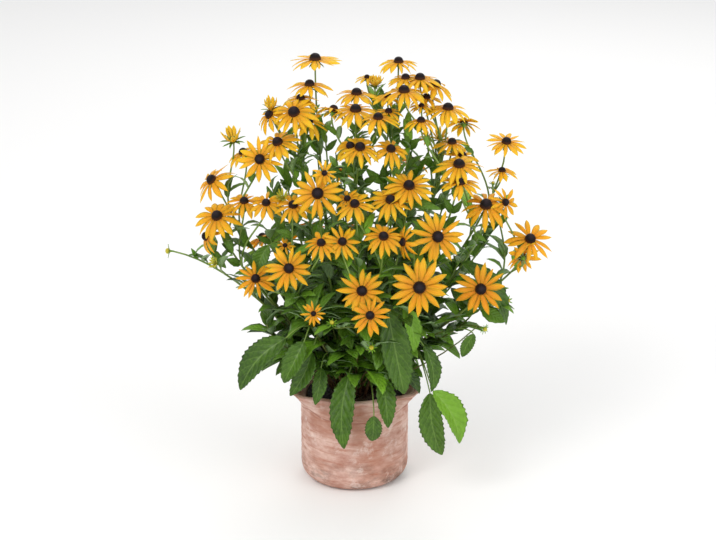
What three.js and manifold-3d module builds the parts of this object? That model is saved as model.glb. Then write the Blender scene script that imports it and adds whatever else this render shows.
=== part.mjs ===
// A dwarf orange coneflower in full bloom, in a hand-shaped terracotta pot. Millimetres, +Z up.
// The origin is the middle of the pot's foot, and the plant is looked at along +Y.

import * as THREE from 'three';
import { mergeVertices } from 'three/addons/utils/BufferGeometryUtils.js';
import Module from 'manifold-3d';

const wasm = await Module();
wasm.setup();

// Pot: a thrown cylinder with a rounded foot, its rim pulled out into four corners.
const potRadius = 73;
const potWall = 7;
const potFloor = 9;
const footRounding = 19;
const insideFootHeight = 27;
const rimEdgeRounding = 1.6;
const creaseHeight = 105;
const creaseRise = 6;
const rimHeight = 136;
const rimSpread = 2;
const flareCurve = 1.05;
const cornerSpread = 23;
const cornerLift = 3;
const cornerBearings = [-55, 61, 126, -126];
const cornerWidth = 16;
const drainRadius = 4.5;
const drainRing = 24;
const drainBearings = [90, 210, 330];
const potSides = 36;

// Soil and the crown that the stems rise from.
const soilHeight = 119;
const soilClearance = 0.6;
const soilMound = 2;
const crownRadius = 33;
const crownDepth = 18;
const crownSides = 14;
const crownTurn = 0.1;
const seatGap = 0.35;
const shortestEdge = 0.04;

// Plant: stems, leaves and blooms.
const stemRadius = 1.5;
const sideStemRadius = 1.1;
const sunkRootRadius = 0.4;
const calyxRadius = 3.6;
const calyxShare = 0.16;
const calyxLength = 4;
const budCalyxRadius = 1.6;
const smallestBloom = 10;
const stalkRadius = 1;
const stalkRise = 6;
const stalkOverlap = 4;
const bladeThickness = 1.1;
const petalThickness = 1.1;
const coneShare = 0.21;
const leadingPieces = 4;
const sidePieces = 2;
const goldenAngle = 137.5;
const bloomNeckRise = 0.9;
const budNeckRise = 0.2;
const petalsKept = 0.75;
const coneRise = 1.15;
const coneMiddle = 0.09;

// The sight line of the photograph: how far off the eye is, how steeply it looks down, the height that it
// looks at, and the picture's middle and scale. A place in the picture and a depth give a place in space.
const eyeDistance = 2700;
const eyePitch = THREE.MathUtils.degToRad(20.5);
const aim = new THREE.Vector3(4.7, 0, 296);
const pictureMiddle = { across: 358, down: 270 };
const picturePixelsPerUnit = 2025;

// Fully grown blooms and opening ones, each as the eye reads it from the picture:
// [across, down, near, radius, turn, tilt, droop, petals, leads]. Across and down are picture places of the
// cone; near is how far it stands towards the eye from the pot's axis, in mm; radius is the bloom's, in mm;
// turn is the way it faces (0 to the eye, 90 to the right) and tilt how far up, in degrees; droop is how far
// the petals hang at their tips, in degrees, less than 0 where they still rise; leads is 1 where the stem
// comes up from the crown.
const heads = [
  [315, 57, -20, 37, 0, 86, 14, 12, 1],
  [309.5, 83, -5, 32, 0, 85, 40, 11, 0],
  [300.5, 97, 8, 28, -10, 80, 46, 10, 0],
  [293.5, 111, 42, 37, -10, 54, 46, 12, 1],
  [309, 119.5, 24, 30, 30, 55, 38, 10, 0],
  [268.5, 114, 22, 29, -50, 45, 62, 10, 0],
  [271, 107, 8, 19, -10, 72, -88, 9, 0],
  [259.5, 159, 58, 32, -5, 22, 16, 12, 0],
  [277, 141, 46, 34, -30, 62, 40, 11, 0],
  [242.5, 151, 4, 28, -65, 66, 60, 10, 0],
  [210.5, 179, 20, 34, -60, 45, 36, 11, 1],
  [216.5, 215, 56, 36, -20, 55, 46, 12, 1],
  [205, 236, 54, 30, -70, 20, 60, 10, 0],
  [244, 200, 52, 28, 0, 68, 46, 10, 0],
  [266, 202, 74, 27, 0, 56, 46, 10, 0],
  [282.5, 197.5, 62, 14, 0, 52, -66, 9, 0],
  [293, 204, 82, 30, 5, 60, 50, 10, 0],
  [317.5, 193, 104, 36, 0, 28, 22, 12, 1],
  [324.5, 173, 99, 18, 10, 20, 12, 9, 0],
  [354.5, 203, 104, 30, -15, 56, 44, 11, 0],
  [347, 198, 94, 22, -30, 55, 42, 9, 0],
  [360, 146, 62, 33, 8, 60, 54, 11, 0],
  [350, 145, 58, 28, -25, 60, 52, 9, 0],
  [391, 148, 56, 30, 15, 60, 56, 10, 0],
  [356.5, 91.5, -12, 34, 0, 84, 32, 11, 0],
  [355.5, 108, 26, 36, 0, 78, 42, 12, 1],
  [378, 116, 44, 32, 0, 78, 48, 11, 0],
  [388.5, 110.5, 24, 24, 15, 78, 44, 9, 0],
  [398.5, 60, -46, 31, 0, 86, 40, 11, 1],
  [367, 76.5, -52, 19, -10, 84, 40, 9, 0],
  [375, 84, -44, 17, 0, 80, -80, 13, 0],
  [405.5, 76.5, -23, 28, 0, 84, 34, 10, 0],
  [420, 76.5, -18, 33, 0, 84, 38, 11, 0],
  [436.5, 83, -22, 32, 60, 66, 46, 10, 0],
  [404, 89, 12, 36, 0, 82, 50, 12, 0],
  [387.5, 95, -4, 26, -20, 84, 44, 9, 0],
  [426.5, 96, -20, 26, 20, 84, 46, 9, 0],
  [421.5, 105, 4, 18, 0, 80, 40, 9, 0],
  [421, 119.5, 32, 27, 0, 84, 62, 10, 0],
  [448, 106.5, -4, 35, 10, 84, 38, 12, 1],
  [464, 121, -52, 27, 175, 42, 44, 10, 0],
  [427.5, 137, -17, 13, 0, 40, 40, 8, 0],
  [440, 138, -20, 18, 10, 56, -66, 9, 0],
  [452, 141, 6, 29, 0, 80, 40, 11, 0],
  [463, 155, 4, 28, 45, 55, 26, 10, 0],
  [459, 163, 48, 37, 0, 70, 42, 12, 1],
  [460.5, 181, 66, 31, 10, 74, 46, 10, 0],
  [506.5, 140.5, -10, 31, 10, 74, 18, 11, 1],
  [502, 169.5, -4, 24, 5, 82, 46, 10, 0],
  [486, 203.5, 62, 39, 0, 58, 60, 11, 1],
  [506, 202, 57, 24, 30, 25, 28, 9, 0],
  [409, 184.5, 78, 36, 5, 60, 18, 13, 1],
  [390.5, 199, 92, 33, 0, 62, 32, 12, 0],
  [285, 245, 88, 15, 0, 50, 34, 9, 0],
  [321, 242, 132, 28, -5, 58, 50, 11, 0],
  [342.5, 241, 129, 28, 15, 46, 26, 11, 0],
  [383.5, 235.5, 126, 31, 0, 56, 46, 12, 1],
  [402, 242, 120, 27, -60, 10, 46, 9, 0],
  [438, 236.5, 124, 36, 5, 24, 10, 13, 0],
  [530.5, 238, 48, 35, 10, 50, 30, 12, 1],
  [521.5, 256, 46, 27, -160, 15, 20, 10, 0],
  [289, 268, 138, 32, 10, 32, 14, 13, 1],
  [255.5, 278, 100, 29, 0, 45, 22, 12, 0],
  [362, 290.5, 148, 33, 5, 36, 12, 13, 1],
  [419.5, 287.5, 156, 39, 0, 22, 10, 14, 1],
  [481, 289, 104, 36, 5, 24, 14, 13, 1],
  [370, 315, 168, 28, 0, 40, 12, 12, 0],
  [313.5, 313.5, 148, 17, 10, 30, 8, 11, 0],
  [215, 263, 62, 12, -50, 30, -60, 9, 0],
  [232.5, 139, 10, 24, -20, 64, -84, 9, 0],
  [345, 226, -96, 33, 180, 48, 20, 12, 1],
  [387, 232, -102, 34, 165, 42, 18, 12, 1],
  [436, 222, -92, 32, 150, 46, 24, 11, 0],
  [306, 226, -94, 33, 200, 44, 22, 12, 0],
  [262, 236, -66, 31, 220, 50, 26, 11, 0],
  [322, 268, -122, 34, 190, 36, 14, 12, 0],
  [368, 276, -128, 35, 175, 34, 12, 13, 1],
  [412, 270, -116, 33, 160, 38, 16, 12, 0],
  [340, 170, -84, 32, 190, 56, 26, 11, 0],
  [412, 160, -88, 32, 170, 54, 26, 11, 1],
  [334, 108, 6, 29, 150, 58, 46, 10, 0],
];

// Green buds, with the bracts spread as a small star: [across, down, near, radius, turn, tilt, leads].
const buds = [
  [169, 251, 24, 9, -80, 5, 1],
  [506.5, 300.5, 76, 9, 40, 30, 0],
  [484.5, 329, 84, 7, 40, -10, 0],
  [332, 323, 146, 7, 0, 50, 0],
  [371.5, 348, 132, 7, 0, 40, 0],
  [493, 183, 8, 5, 10, 80, 0],
];

// Large toothed leaves low on the plant, read the same way:
// [base across, down, near, tip across, down, near, width, face turn, face tilt, arch].
const largeLeaves = [
  [286, 338, 96, 240, 390, 106, 38, -20, 30, 8],
  [304, 342, 98, 284, 383, 108, 30, -15, 30, 6],
  [312, 352, 84, 290, 396, 104, 26, 0, 30, 6],
  [321, 368, 72, 315, 405, 96, 21, 10, 25, 5],
  [349, 375, 66, 344, 449, 98, 35, 0, 30, 9],
  [382, 376, 66, 388, 428, 94, 27, 10, 30, 8],
  [374, 416, 94, 372, 441, 94, 24, 0, 10, 3],
  [430, 393, 93, 442, 455, 93, 35, -10, 20, 6],
  [433, 391, 97, 459.5, 443.5, 102, 37, 30, 30, 6],
  [388, 312, 110, 404, 394, 110, 42, 5, 35, 9],
  [404, 306, 104, 414, 352, 112, 24, 20, 40, 5],
  [424, 346, 92, 431, 392, 96, 22, 25, 35, 8],
  [474, 334, 82, 462, 357, 84, 17, 10, 30, 3],
  [462, 262, 60, 506, 325, 78, 30, 30, 40, 22],
  [268, 246, 62, 258, 274, 70, 22, 0, 30, 4],
];

// Returns a number from 0 to 1 that looks random and is the same for the same two numbers.
function draw(seed, salt) {
  const wave = Math.sin(seed * 12.9898 + salt * 78.233) * 43758.5453;
  return wave - Math.floor(wave);
}

// Finds the point in space seen at a place of the picture, at a depth nearer to the eye than the pot's axis.
function seen(across, down, near) {
  const ahead = new THREE.Vector3(0, Math.cos(eyePitch), -Math.sin(eyePitch));
  const upward = new THREE.Vector3(0, Math.sin(eyePitch), Math.cos(eyePitch));
  const eye = aim.clone().addScaledVector(ahead, -eyeDistance);
  const ray = ahead.multiplyScalar(picturePixelsPerUnit)
    .add(new THREE.Vector3(across - pictureMiddle.across, 0, 0))
    .addScaledVector(upward, pictureMiddle.down - down);
  return eye.addScaledVector(ray, (-near - eye.y) / ray.y);
}

// Gives the direction that faces `turn` degrees round from the eye and `tilt` degrees up.
function facing(turn, tilt) {
  const bearing = THREE.MathUtils.degToRad(turn);
  const rise = THREE.MathUtils.degToRad(tilt);
  return new THREE.Vector3(
    Math.sin(bearing) * Math.cos(rise),
    -Math.cos(bearing) * Math.cos(rise),
    Math.sin(rise),
  );
}

// Gives two directions square to an axis, the first level and the second up the slope.
function squareTo(axis) {
  const level = new THREE.Vector3(0, 0, 1).cross(axis);
  if (level.lengthSq() < 1e-6) {
    level.set(1, 0, 0);
  }
  level.normalize();
  return [level, new THREE.Vector3().crossVectors(axis, level)];
}

// Builds a closed solid from points and triangles.
function solidFrom(points, faces) {
  const vertProperties = new Float32Array(points.flatMap((point) => [point.x, point.y, point.z]));
  const triVerts = new Uint32Array(faces.flat());
  return new wasm.Manifold(new wasm.Mesh({ numProp: 3, vertProperties, triVerts }));
}

// Builds a closed solid from a three.js geometry.
function solidOf(geometry) {
  const bare = geometry.clone();
  bare.deleteAttribute('normal');
  bare.deleteAttribute('uv');
  const merged = mergeVertices(bare, 1e-4);
  const vertProperties = new Float32Array(merged.attributes.position.array);
  const triVerts = new Uint32Array(merged.index.array);
  return new wasm.Manifold(new wasm.Mesh({ numProp: 3, vertProperties, triVerts }));
}

// Joins many solids, two by two, so that the joins stay small.
function joined(solids) {
  let layer = solids;
  while (layer.length > 1) {
    const next = [];
    for (let i = 0; i < layer.length; i += 2) {
      next.push(i + 1 < layer.length ? layer[i].add(layer[i + 1]) : layer[i]);
    }
    layer = next;
  }
  return layer[0];
}

// Keeps the largest body of a solid: loose scraps are dropped, a sealed hollow is filled, and edges too short
// to matter are closed up.
function mainBody(solid) {
  const largest = solid.decompose().reduce((best, body) => (body.volume() > best.volume() ? body : best));
  return largest.simplify(shortestEdge);
}

// Makes a named mesh of a solid.
function meshOf(name, solid, material) {
  const { vertProperties, triVerts, numProp } = solid.getMesh();
  const count = vertProperties.length / numProp;
  const positions = new Float32Array(count * 3);
  for (let i = 0; i < count; i += 1) {
    positions.set(vertProperties.subarray(i * numProp, i * numProp + 3), i * 3);
  }
  const geometry = new THREE.BufferGeometry();
  geometry.setAttribute('position', new THREE.BufferAttribute(positions, 3));
  geometry.setIndex(new THREE.BufferAttribute(new Uint32Array(triVerts), 1));
  geometry.computeVertexNormals();
  const mesh = new THREE.Mesh(geometry, material);
  mesh.name = name;
  return mesh;
}

// How strongly the rim is pulled out at a bearing from the eye's side: 1 at a corner, 0 between them.
function cornerPull(bearing) {
  return Math.max(...cornerBearings.map((corner) => {
    const apart = THREE.MathUtils.euclideanModulo(bearing - corner + 180, 360) - 180;
    return Math.exp(-((apart / cornerWidth) ** 2));
  }));
}

// The height of the crease that the rim bends out from: low between the corners and high at them.
function creaseAt(bearing) {
  return creaseHeight + creaseRise * cornerPull(bearing);
}

// The pot's outer radius at a share of the way from the crease to the rim.
function flaredRadius(bearing, share) {
  return potRadius + share ** flareCurve * (rimSpread + cornerSpread * cornerPull(bearing));
}

// The height at a share of the way from the crease to the rim.
function flaredHeight(bearing, share) {
  const crease = creaseAt(bearing);
  return crease + share * (rimHeight + cornerLift * cornerPull(bearing) - crease);
}

// A closed surface from rings of points: each ring is a list of [radius, height] for each bearing.
function ringed(rings, sides, bottomHeight, topHeight) {
  const points = [];
  for (const ring of rings) {
    for (let i = 0; i < sides; i += 1) {
      const bearing = (360 * i) / sides;
      const [radius, height] = ring(bearing);
      const angle = THREE.MathUtils.degToRad(bearing);
      points.push(new THREE.Vector3(radius * Math.sin(angle), -radius * Math.cos(angle), height));
    }
  }
  const bottom = points.push(new THREE.Vector3(0, 0, bottomHeight)) - 1;
  const top = points.push(new THREE.Vector3(0, 0, topHeight)) - 1;
  const last = (rings.length - 1) * sides;
  const faces = [];
  for (let i = 0; i < sides; i += 1) {
    const next = (i + 1) % sides;
    faces.push([bottom, next, i], [top, last + i, last + next]);
    for (let ring = 0; ring < rings.length - 1; ring += 1) {
      const lower = ring * sides;
      const upper = lower + sides;
      faces.push([lower + i, lower + next, upper + next], [lower + i, upper + next, upper + i]);
    }
  }
  return solidFrom(points, faces);
}

function potSolid() {
  const footFlat = potRadius - footRounding;
  const rings = [() => [footFlat, 0]];
  for (const degrees of [38, 90]) {
    const angle = THREE.MathUtils.degToRad(degrees);
    rings.push(() => [
      footFlat + footRounding * Math.sin(angle),
      footRounding * (1 - Math.cos(angle)),
    ]);
  }
  for (const share of [0, 0.5, 0.93]) {
    rings.push((bearing) => [flaredRadius(bearing, share), flaredHeight(bearing, share)]);
  }
  rings.push((bearing) => [flaredRadius(bearing, 1) - rimEdgeRounding, flaredHeight(bearing, 1)]);
  rings.push((bearing) => [
    flaredRadius(bearing, 1) - potWall + 1,
    flaredHeight(bearing, 1) - rimEdgeRounding,
  ]);
  for (const share of [0.5, 0]) {
    rings.push((bearing) => [flaredRadius(bearing, share) - potWall, flaredHeight(bearing, share)]);
  }
  rings.push(() => [potRadius - potWall, insideFootHeight]);
  rings.push(() => [footFlat, potFloor]);
  const shell = ringed(rings, potSides, 0, potFloor);
  const holes = drainBearings.map((bearing) => {
    const angle = THREE.MathUtils.degToRad(bearing);
    const bore = new THREE.CylinderGeometry(drainRadius, drainRadius, potFloor * 3, 10);
    bore.rotateX(Math.PI / 2);
    bore.translate(drainRing * Math.cos(angle), drainRing * Math.sin(angle), 0);
    return solidOf(bore);
  });
  return shell.subtract(joined(holes));
}

// The radius that the soil may have at a height, clear of the pot's inner wall.
function soilRadius(bearing, height) {
  const share = (height - creaseAt(bearing)) / (flaredHeight(bearing, 1) - creaseAt(bearing));
  return flaredRadius(bearing, Math.max(0, share)) - potWall - soilClearance - 1 - 3.5 * cornerPull(bearing);
}

// How much the soil's surface rises and falls round the pot.
function unevenness(bearing, waves) {
  return 1.3 * Math.sin(THREE.MathUtils.degToRad(bearing * waves));
}

function soilSolid() {
  const rings = [
    () => [potRadius - footRounding - 1, potFloor + seatGap],
    () => [potRadius - potWall - soilClearance, insideFootHeight + 1],
    (bearing) => [potRadius - potWall - soilClearance, Math.min(creaseAt(bearing), soilHeight - 7) - 1],
    (bearing) => [soilRadius(bearing, soilHeight) - 1.5, soilHeight - soilMound + unevenness(bearing, 5)],
    (bearing) => [crownRadius + 12, soilHeight + unevenness(bearing, 3)],
  ];
  const fill = ringed(rings, potSides, potFloor + seatGap, soilHeight + soilMound);
  const holeRadius = crownRadius + seatGap;
  const holeDepth = crownDepth * 3;
  const hole = new THREE.CylinderGeometry(holeRadius, holeRadius, holeDepth, crownSides);
  hole.rotateY(crownTurn);
  hole.rotateX(Math.PI / 2);
  hole.translate(0, 0, soilHeight - crownDepth + holeDepth / 2);
  return fill.subtract(solidOf(hole));
}

// The crown: a low mound of old stem bases, which stands in the soil's hole.
function crownSolid() {
  const mound = new THREE.LatheGeometry([
    new THREE.Vector2(0, soilHeight - crownDepth + seatGap),
    new THREE.Vector2(crownRadius, soilHeight - crownDepth + seatGap),
    new THREE.Vector2(crownRadius, soilHeight + 1),
    new THREE.Vector2(0, soilHeight + 8),
  ], crownSides);
  mound.rotateY(crownTurn);
  mound.rotateX(Math.PI / 2);
  return solidOf(mound);
}

// A round stem along a path, thicker where the radii say so, with a flat end cap at each end.
function stemSolid(path, radii, sides) {
  const points = [];
  const faces = [];
  let level = null;
  path.forEach((place, i) => {
    const before = path[Math.max(0, i - 1)];
    const after = path[Math.min(path.length - 1, i + 1)];
    const along = i === path.length - 1
      ? new THREE.Vector3().subVectors(place, before).normalize()
      : new THREE.Vector3().subVectors(after, before).normalize();
    level = level === null ? squareTo(along)[0] : level.addScaledVector(along, -level.dot(along)).normalize();
    const third = new THREE.Vector3().crossVectors(along, level);
    for (let side = 0; side < sides; side += 1) {
      const angle = (2 * Math.PI * side) / sides;
      points.push(place.clone()
        .addScaledVector(level, radii[i] * Math.cos(angle))
        .addScaledVector(third, radii[i] * Math.sin(angle)));
    }
  });
  for (let ring = 0; ring < path.length - 1; ring += 1) {
    for (let side = 0; side < sides; side += 1) {
      const a = ring * sides + side;
      const b = ring * sides + ((side + 1) % sides);
      faces.push([a, b, b + sides], [a, b + sides, a + sides]);
    }
  }
  const last = (path.length - 1) * sides;
  for (let side = 1; side < sides - 1; side += 1) {
    faces.push([0, side + 1, side], [last, last + side, last + side + 1]);
  }
  return solidFrom(points, faces);
}

// A leaf blade, closed and sharp-edged, with the rib raised on both faces. Its middle line runs from base to
// tip and rises by `arch` towards `face`. The width swells and falls as a leaf's does, and with teeth the
// edge steps in behind each one. `grow` makes the same blade larger all round, to keep things clear of it.
function bladeSolid({ base, tip, width, face, arch, teeth = 0, grow = 0 }) {
  const along = new THREE.Vector3().subVectors(tip, base);
  const length = along.length();
  along.normalize();
  const aside = new THREE.Vector3().crossVectors(face, along).normalize();
  const normal = new THREE.Vector3().crossVectors(along, aside);
  const half = (share) => 0.5 * width * Math.sin(Math.PI * share ** 0.8) ** 0.75;
  const stations = [];
  if (teeth === 0) {
    stations.push([0.34, half(0.34)], [0.68, half(0.68)]);
  }
  for (let tooth = 0; tooth < teeth; tooth += 1) {
    const share = 0.14 + (0.76 * tooth) / (teeth - 1);
    stations.push([share, half(share) * 1.04], [share + 0.035, half(share + 0.035) * 0.84]);
  }
  const middle = (share) => base.clone()
    .addScaledVector(along, share * length)
    .addScaledVector(normal, arch * 4 * share * (1 - share));
  const rise = bladeThickness / 2 + grow;
  const points = [base.clone().addScaledVector(along, -grow)];
  for (const [share, reach] of stations) {
    const rib = middle(share);
    points.push(
      rib.clone().addScaledVector(aside, reach + grow).addScaledVector(normal, reach * 0.18),
      rib.clone().addScaledVector(normal, rise),
      rib.clone().addScaledVector(aside, -reach - grow).addScaledVector(normal, reach * 0.18),
      rib.clone().addScaledVector(normal, -rise),
    );
  }
  const end = points.push(tip.clone().addScaledVector(along, grow)) - 1;
  const faces = [];
  const last = end - 4;
  for (let side = 0; side < 4; side += 1) {
    const next = (side + 1) % 4;
    faces.push([0, 1 + next, 1 + side], [end, last + side, last + next]);
    for (let ring = 1; ring < last; ring += 4) {
      faces.push(...quad(ring + side, ring + next, side));
    }
  }
  return solidFrom(points, faces);
}

// Two triangles between a pair of neighbouring stations of a blade, split so that both faces break alike.
function quad(a, b, side) {
  return side % 2 === 0
    ? [[a, b, b + 4], [a, b + 4, a + 4]]
    : [[a, b, a + 4], [b, b + 4, a + 4]];
}

// A bloom: a star-shaped sheet of petals round a domed cone, closed underneath. The petals leave the cone
// almost square to the axis and bend down evenly by `droop` to their tips. Each petal parts from its
// neighbours at `parting` of its length and has a raised middle line, which bends at `middleShare`. In a
// bloom that is still opening the petals rise steeply, and the cone stands higher by `cupping`.
function bloomSolid({ centre, axis, radius, droop, petals, seed }) {
  const parting = 0.4;
  const middleShare = 0.62;
  const [level, upslope] = squareTo(axis);
  const coneRadius = radius * coneShare;
  const cupping = coneRadius * Math.max(0, -Math.sin(THREE.MathUtils.degToRad(droop)));
  const reach = radius - coneRadius * 0.8;
  const startBend = THREE.MathUtils.degToRad(droop < 0 ? droop * 0.6 : Math.min(2, droop * 0.5));
  const endBend = THREE.MathUtils.degToRad(Math.abs(droop - 2) < 3 ? droop + 6 : droop);
  const bendAt = (share) => startBend + (endBend - startBend) * share;
  // The place at a share of the petal's length, at a bearing round the axis, raised along the petal's normal.
  const place = (share, bearing, raise, stretch = 1) => {
    const bend = bendAt(share);
    const scale = (reach * stretch) / (endBend - startBend);
    const out = coneRadius * 0.8 + scale * (Math.sin(bend) - Math.sin(startBend)) + raise * Math.sin(bend);
    const height = scale * (Math.cos(bend) - Math.cos(startBend)) + raise * Math.cos(bend);
    return { out, height, bearing };
  };
  const inSpace = ({ out, height, bearing }) => centre.clone()
    .addScaledVector(level, out * Math.cos(bearing))
    .addScaledVector(upslope, out * Math.sin(bearing))
    .addScaledVector(axis, height);
  const points = [];
  const add = (spot) => points.push(inSpace(spot)) - 1;
  const inner = [];
  const ridge = [];
  const tips = [];
  const valleys = [];
  const dome = [];
  const step = (2 * Math.PI) / petals;
  const widening = droop < 0 ? Math.cos(step / 2) : 1;
  let lowest = 0;
  for (let k = 0; k < petals; k += 1) {
    const bearing = step * (k + 0.35 * (draw(seed, k) - 0.5)) + seed;
    const stretch = 0.84 + 0.16 * draw(seed, k + 40);
    const sway = 0.16 * (draw(seed, k + 80) - 0.5);
    inner.push(add({ out: coneRadius * 0.95, height: petalThickness * 0.5 + cupping, bearing }));
    const middle = place(middleShare, bearing + sway * 0.5, petalThickness * 0.8, stretch);
    ridge.push(add(middle));
    tips.push(add(place(1, bearing + sway, 0, stretch)));
    const slope = parting / middleShare;
    const bend = bendAt(parting);
    const valley = {
      out: (coneRadius * 0.95 + (middle.out - coneRadius * 0.95) * slope) / widening
        - petalThickness * 0.8 * Math.sin(bend),
      height: petalThickness * 0.5 * (1 - slope) + middle.height * slope
        - petalThickness * 0.8 * Math.cos(bend),
      bearing: step * (k + 0.5) + seed,
    };
    lowest = Math.min(lowest, valley.height);
    valleys.push(add(valley));
    const shoulder = { out: coneRadius * 0.85, height: coneRadius * coneRise * 0.66 + cupping };
    dome.push(add({ ...shoulder, bearing: step * k + seed }));
  }
  const top = add({ out: 0, height: coneRadius * coneRise + cupping, bearing: 0 });
  const seat = Math.min(lowest, -petalThickness) - 0.4;
  const under = add({ out: 0, height: seat, bearing: 0 });
  const faces = [];
  for (let k = 0; k < petals; k += 1) {
    const next = (k + 1) % petals;
    const before = (k + petals - 1) % petals;
    faces.push(
      [inner[k], valleys[k], inner[next]],
      [inner[k], ridge[k], valleys[k]],
      [inner[k], valleys[before], ridge[k]],
      [ridge[k], tips[k], valleys[k]],
      [ridge[k], valleys[before], tips[k]],
      [under, valleys[k], valleys[before]],
      [valleys[before], valleys[k], tips[k]],
      [inner[k], inner[next], dome[next]],
      [inner[k], dome[next], dome[k]],
      [dome[k], dome[next], top],
    );
  }
  return { solid: solidFrom(points, faces), seat: inSpace({ out: 0, height: seat - seatGap, bearing: 0 }) };
}

// Stems. A leading stem rises from the crown and leans out to its head; a side stem leaves the leading stem
// that passes nearest below its head. Each ends in the green cup behind the bloom.
function stemCurve(start, startWay, { seat, axis, radius }) {
  const rise = radius > smallestBloom ? bloomNeckRise : budNeckRise;
  const span = start.distanceTo(seat);
  const endWay = axis.clone().add(new THREE.Vector3(0, 0, rise)).normalize();
  const neck = seat.clone().addScaledVector(axis, -calyxLength);
  return new THREE.CubicBezierCurve3(
    start,
    start.clone().addScaledVector(startWay, span * 0.38),
    neck.clone().addScaledVector(endWay, -span * 0.26),
    neck,
  );
}

function stemWithCup({ head, path, root }, grow) {
  const bloomCup = Math.min(calyxRadius, head.radius * calyxShare);
  const cup = head.radius > smallestBloom ? bloomCup : budCalyxRadius;
  const last = path.length - 1;
  const radii = path.map((_, i) => root + (sideStemRadius - root) * (i / last) + grow);
  radii[0] = (head.leads === 1 ? root : sunkRootRadius) + grow;
  const seat = head.seat.clone().addScaledVector(head.axis, grow * 0.5);
  return stemSolid([...path, seat], [...radii, cup + grow], 3);
}

// The place at a share of the way along a path of straight pieces, and the way that it runs there.
function alongPath(path, share) {
  const piece = Math.min(path.length - 2, Math.floor(share * (path.length - 1)));
  const part = share * (path.length - 1) - piece;
  return {
    spot: path[piece].clone().lerp(path[piece + 1], part),
    way: new THREE.Vector3().subVectors(path[piece + 1], path[piece]).normalize(),
  };
}

const blooms = heads.map(([px, py, near, radius, turn, tilt, droop, petals, leads], index) => {
  const axis = facing(turn, tilt);
  const centre = seen(px, py, near).addScaledVector(axis, -coneMiddle * radius);
  const seed = index + 1;
  const count = Math.round(petals * petalsKept);
  const { solid, seat } = bloomSolid({ centre, axis, radius, droop, petals: count, seed });
  return { label: String(seed).padStart(2, '0'), centre, axis, radius, seed, leads, solid, seat };
});

const budHeads = buds.map(([px, py, near, radius, turn, tilt, leads], index) => {
  const centre = seen(px, py, near);
  const axis = facing(turn, tilt);
  const seed = index + 101;
  const { solid, seat } = bloomSolid({ centre, axis, radius, droop: 24, petals: 5, seed });
  seat.addScaledVector(axis, seatGap * 3);
  return { centre, axis, radius, seed, leads, solid, seat };
});

// Where a leading stem leaves the crown: on the side that its head leans to.
function crownPlace(head) {
  const out = Math.min(crownRadius - 7, Math.hypot(head.centre.x, head.centre.y) * 0.18);
  const bearing = Math.atan2(head.centre.y, head.centre.x) + 0.3 * (draw(head.seed, 8) - 0.5);
  return new THREE.Vector3(out * Math.cos(bearing), out * Math.sin(bearing), soilHeight - 1);
}

const allHeads = [...blooms, ...budHeads];
const routes = [];
for (const head of allHeads.filter(({ leads }) => leads === 1)) {
  const start = crownPlace(head);
  const lean = new THREE.Vector3(head.centre.x, head.centre.y, 0).multiplyScalar(0.0022);
  const startWay = new THREE.Vector3(0, 0, 1).add(lean).normalize();
  const path = stemCurve(start, startWay, head).getPoints(leadingPieces);
  routes.push({ head, path, root: stemRadius + 0.5 });
}
const leadingRoutes = [...routes];
for (const head of allHeads.filter(({ leads }) => leads === 0)) {
  let best = null;
  for (const route of leadingRoutes) {
    for (let share = 0.3; share <= 0.9; share += 0.05) {
      const { spot, way } = alongPath(route.path, share);
      const rise = head.seat.z - spot.z;
      const apart = Math.hypot(head.seat.x - spot.x, head.seat.y - spot.y);
      const cost = apart * 1.6 + Math.abs(rise - 90) * 0.6 + (rise < 25 ? 500 : 0);
      if (best === null || cost < best.cost) {
        best = { cost, fork: spot, way };
      }
    }
  }
  const outward = new THREE.Vector3().subVectors(head.seat, best.fork).normalize();
  const startWay = best.way.clone().add(outward).normalize();
  const path = stemCurve(best.fork, startWay, head).getPoints(sidePieces);
  routes.push({ head, path, root: sideStemRadius + 0.2 });
}

function stemSolids(grow) {
  return routes.map((route) => stemWithCup(route, grow));
}

// Large leaves: each blade hangs from a stalk that leaves the crown or the nearest leading stem.
const largeBlades = largeLeaves.map(([bx, by, bn, tx, ty, tn, width, turn, tilt, arch]) => {
  const base = seen(bx, by, bn);
  const tip = seen(tx, ty, tn);
  let fork = null;
  for (const route of leadingRoutes) {
    for (let share = 0.06; share <= 0.5; share += 0.04) {
      const { spot } = alongPath(route.path, share);
      if (fork === null || spot.distanceTo(base) < fork.distanceTo(base)) {
        fork = spot;
      }
    }
  }
  return { base, tip, width, face: facing(turn, tilt), arch, fork, teeth: width > 32 ? 4 : 3 };
});

function largeLeafSolids(grow) {
  return largeBlades.flatMap((blade) => {
    const way = new THREE.Vector3().subVectors(blade.tip, blade.base).normalize();
    const inside = blade.base.clone().addScaledVector(way, stalkOverlap);
    const rise = blade.fork.clone().lerp(blade.base, 0.55).add(new THREE.Vector3(0, 0, stalkRise));
    const path = [blade.fork, rise, blade.base, inside];
    const radii = [sunkRootRadius, stalkRadius, stalkRadius, stalkRadius].map((radius) => radius + grow);
    return [bladeSolid({ ...blade, grow }), stemSolid(path, radii, 3)];
  });
}

// Whether a leaf's middle line passes clear of the pot and of the flat drum of space that each bloom fills.
function leafIsClear(base, tip) {
  return [0.25, 0.5, 0.75, 1].every((share) => {
    const spot = base.clone().lerp(tip, share);
    const inPot = spot.z < soilHeight + 38 && Math.hypot(spot.x, spot.y) > crownRadius;
    return !inPot && blooms.every(({ centre, axis, radius }) => {
      const offset = new THREE.Vector3().subVectors(spot, centre);
      const height = offset.dot(axis);
      const out = offset.addScaledVector(axis, -height).length();
      return out > radius + 5 || height > 12 || height < -radius * 0.55;
    });
  });
}

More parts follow.
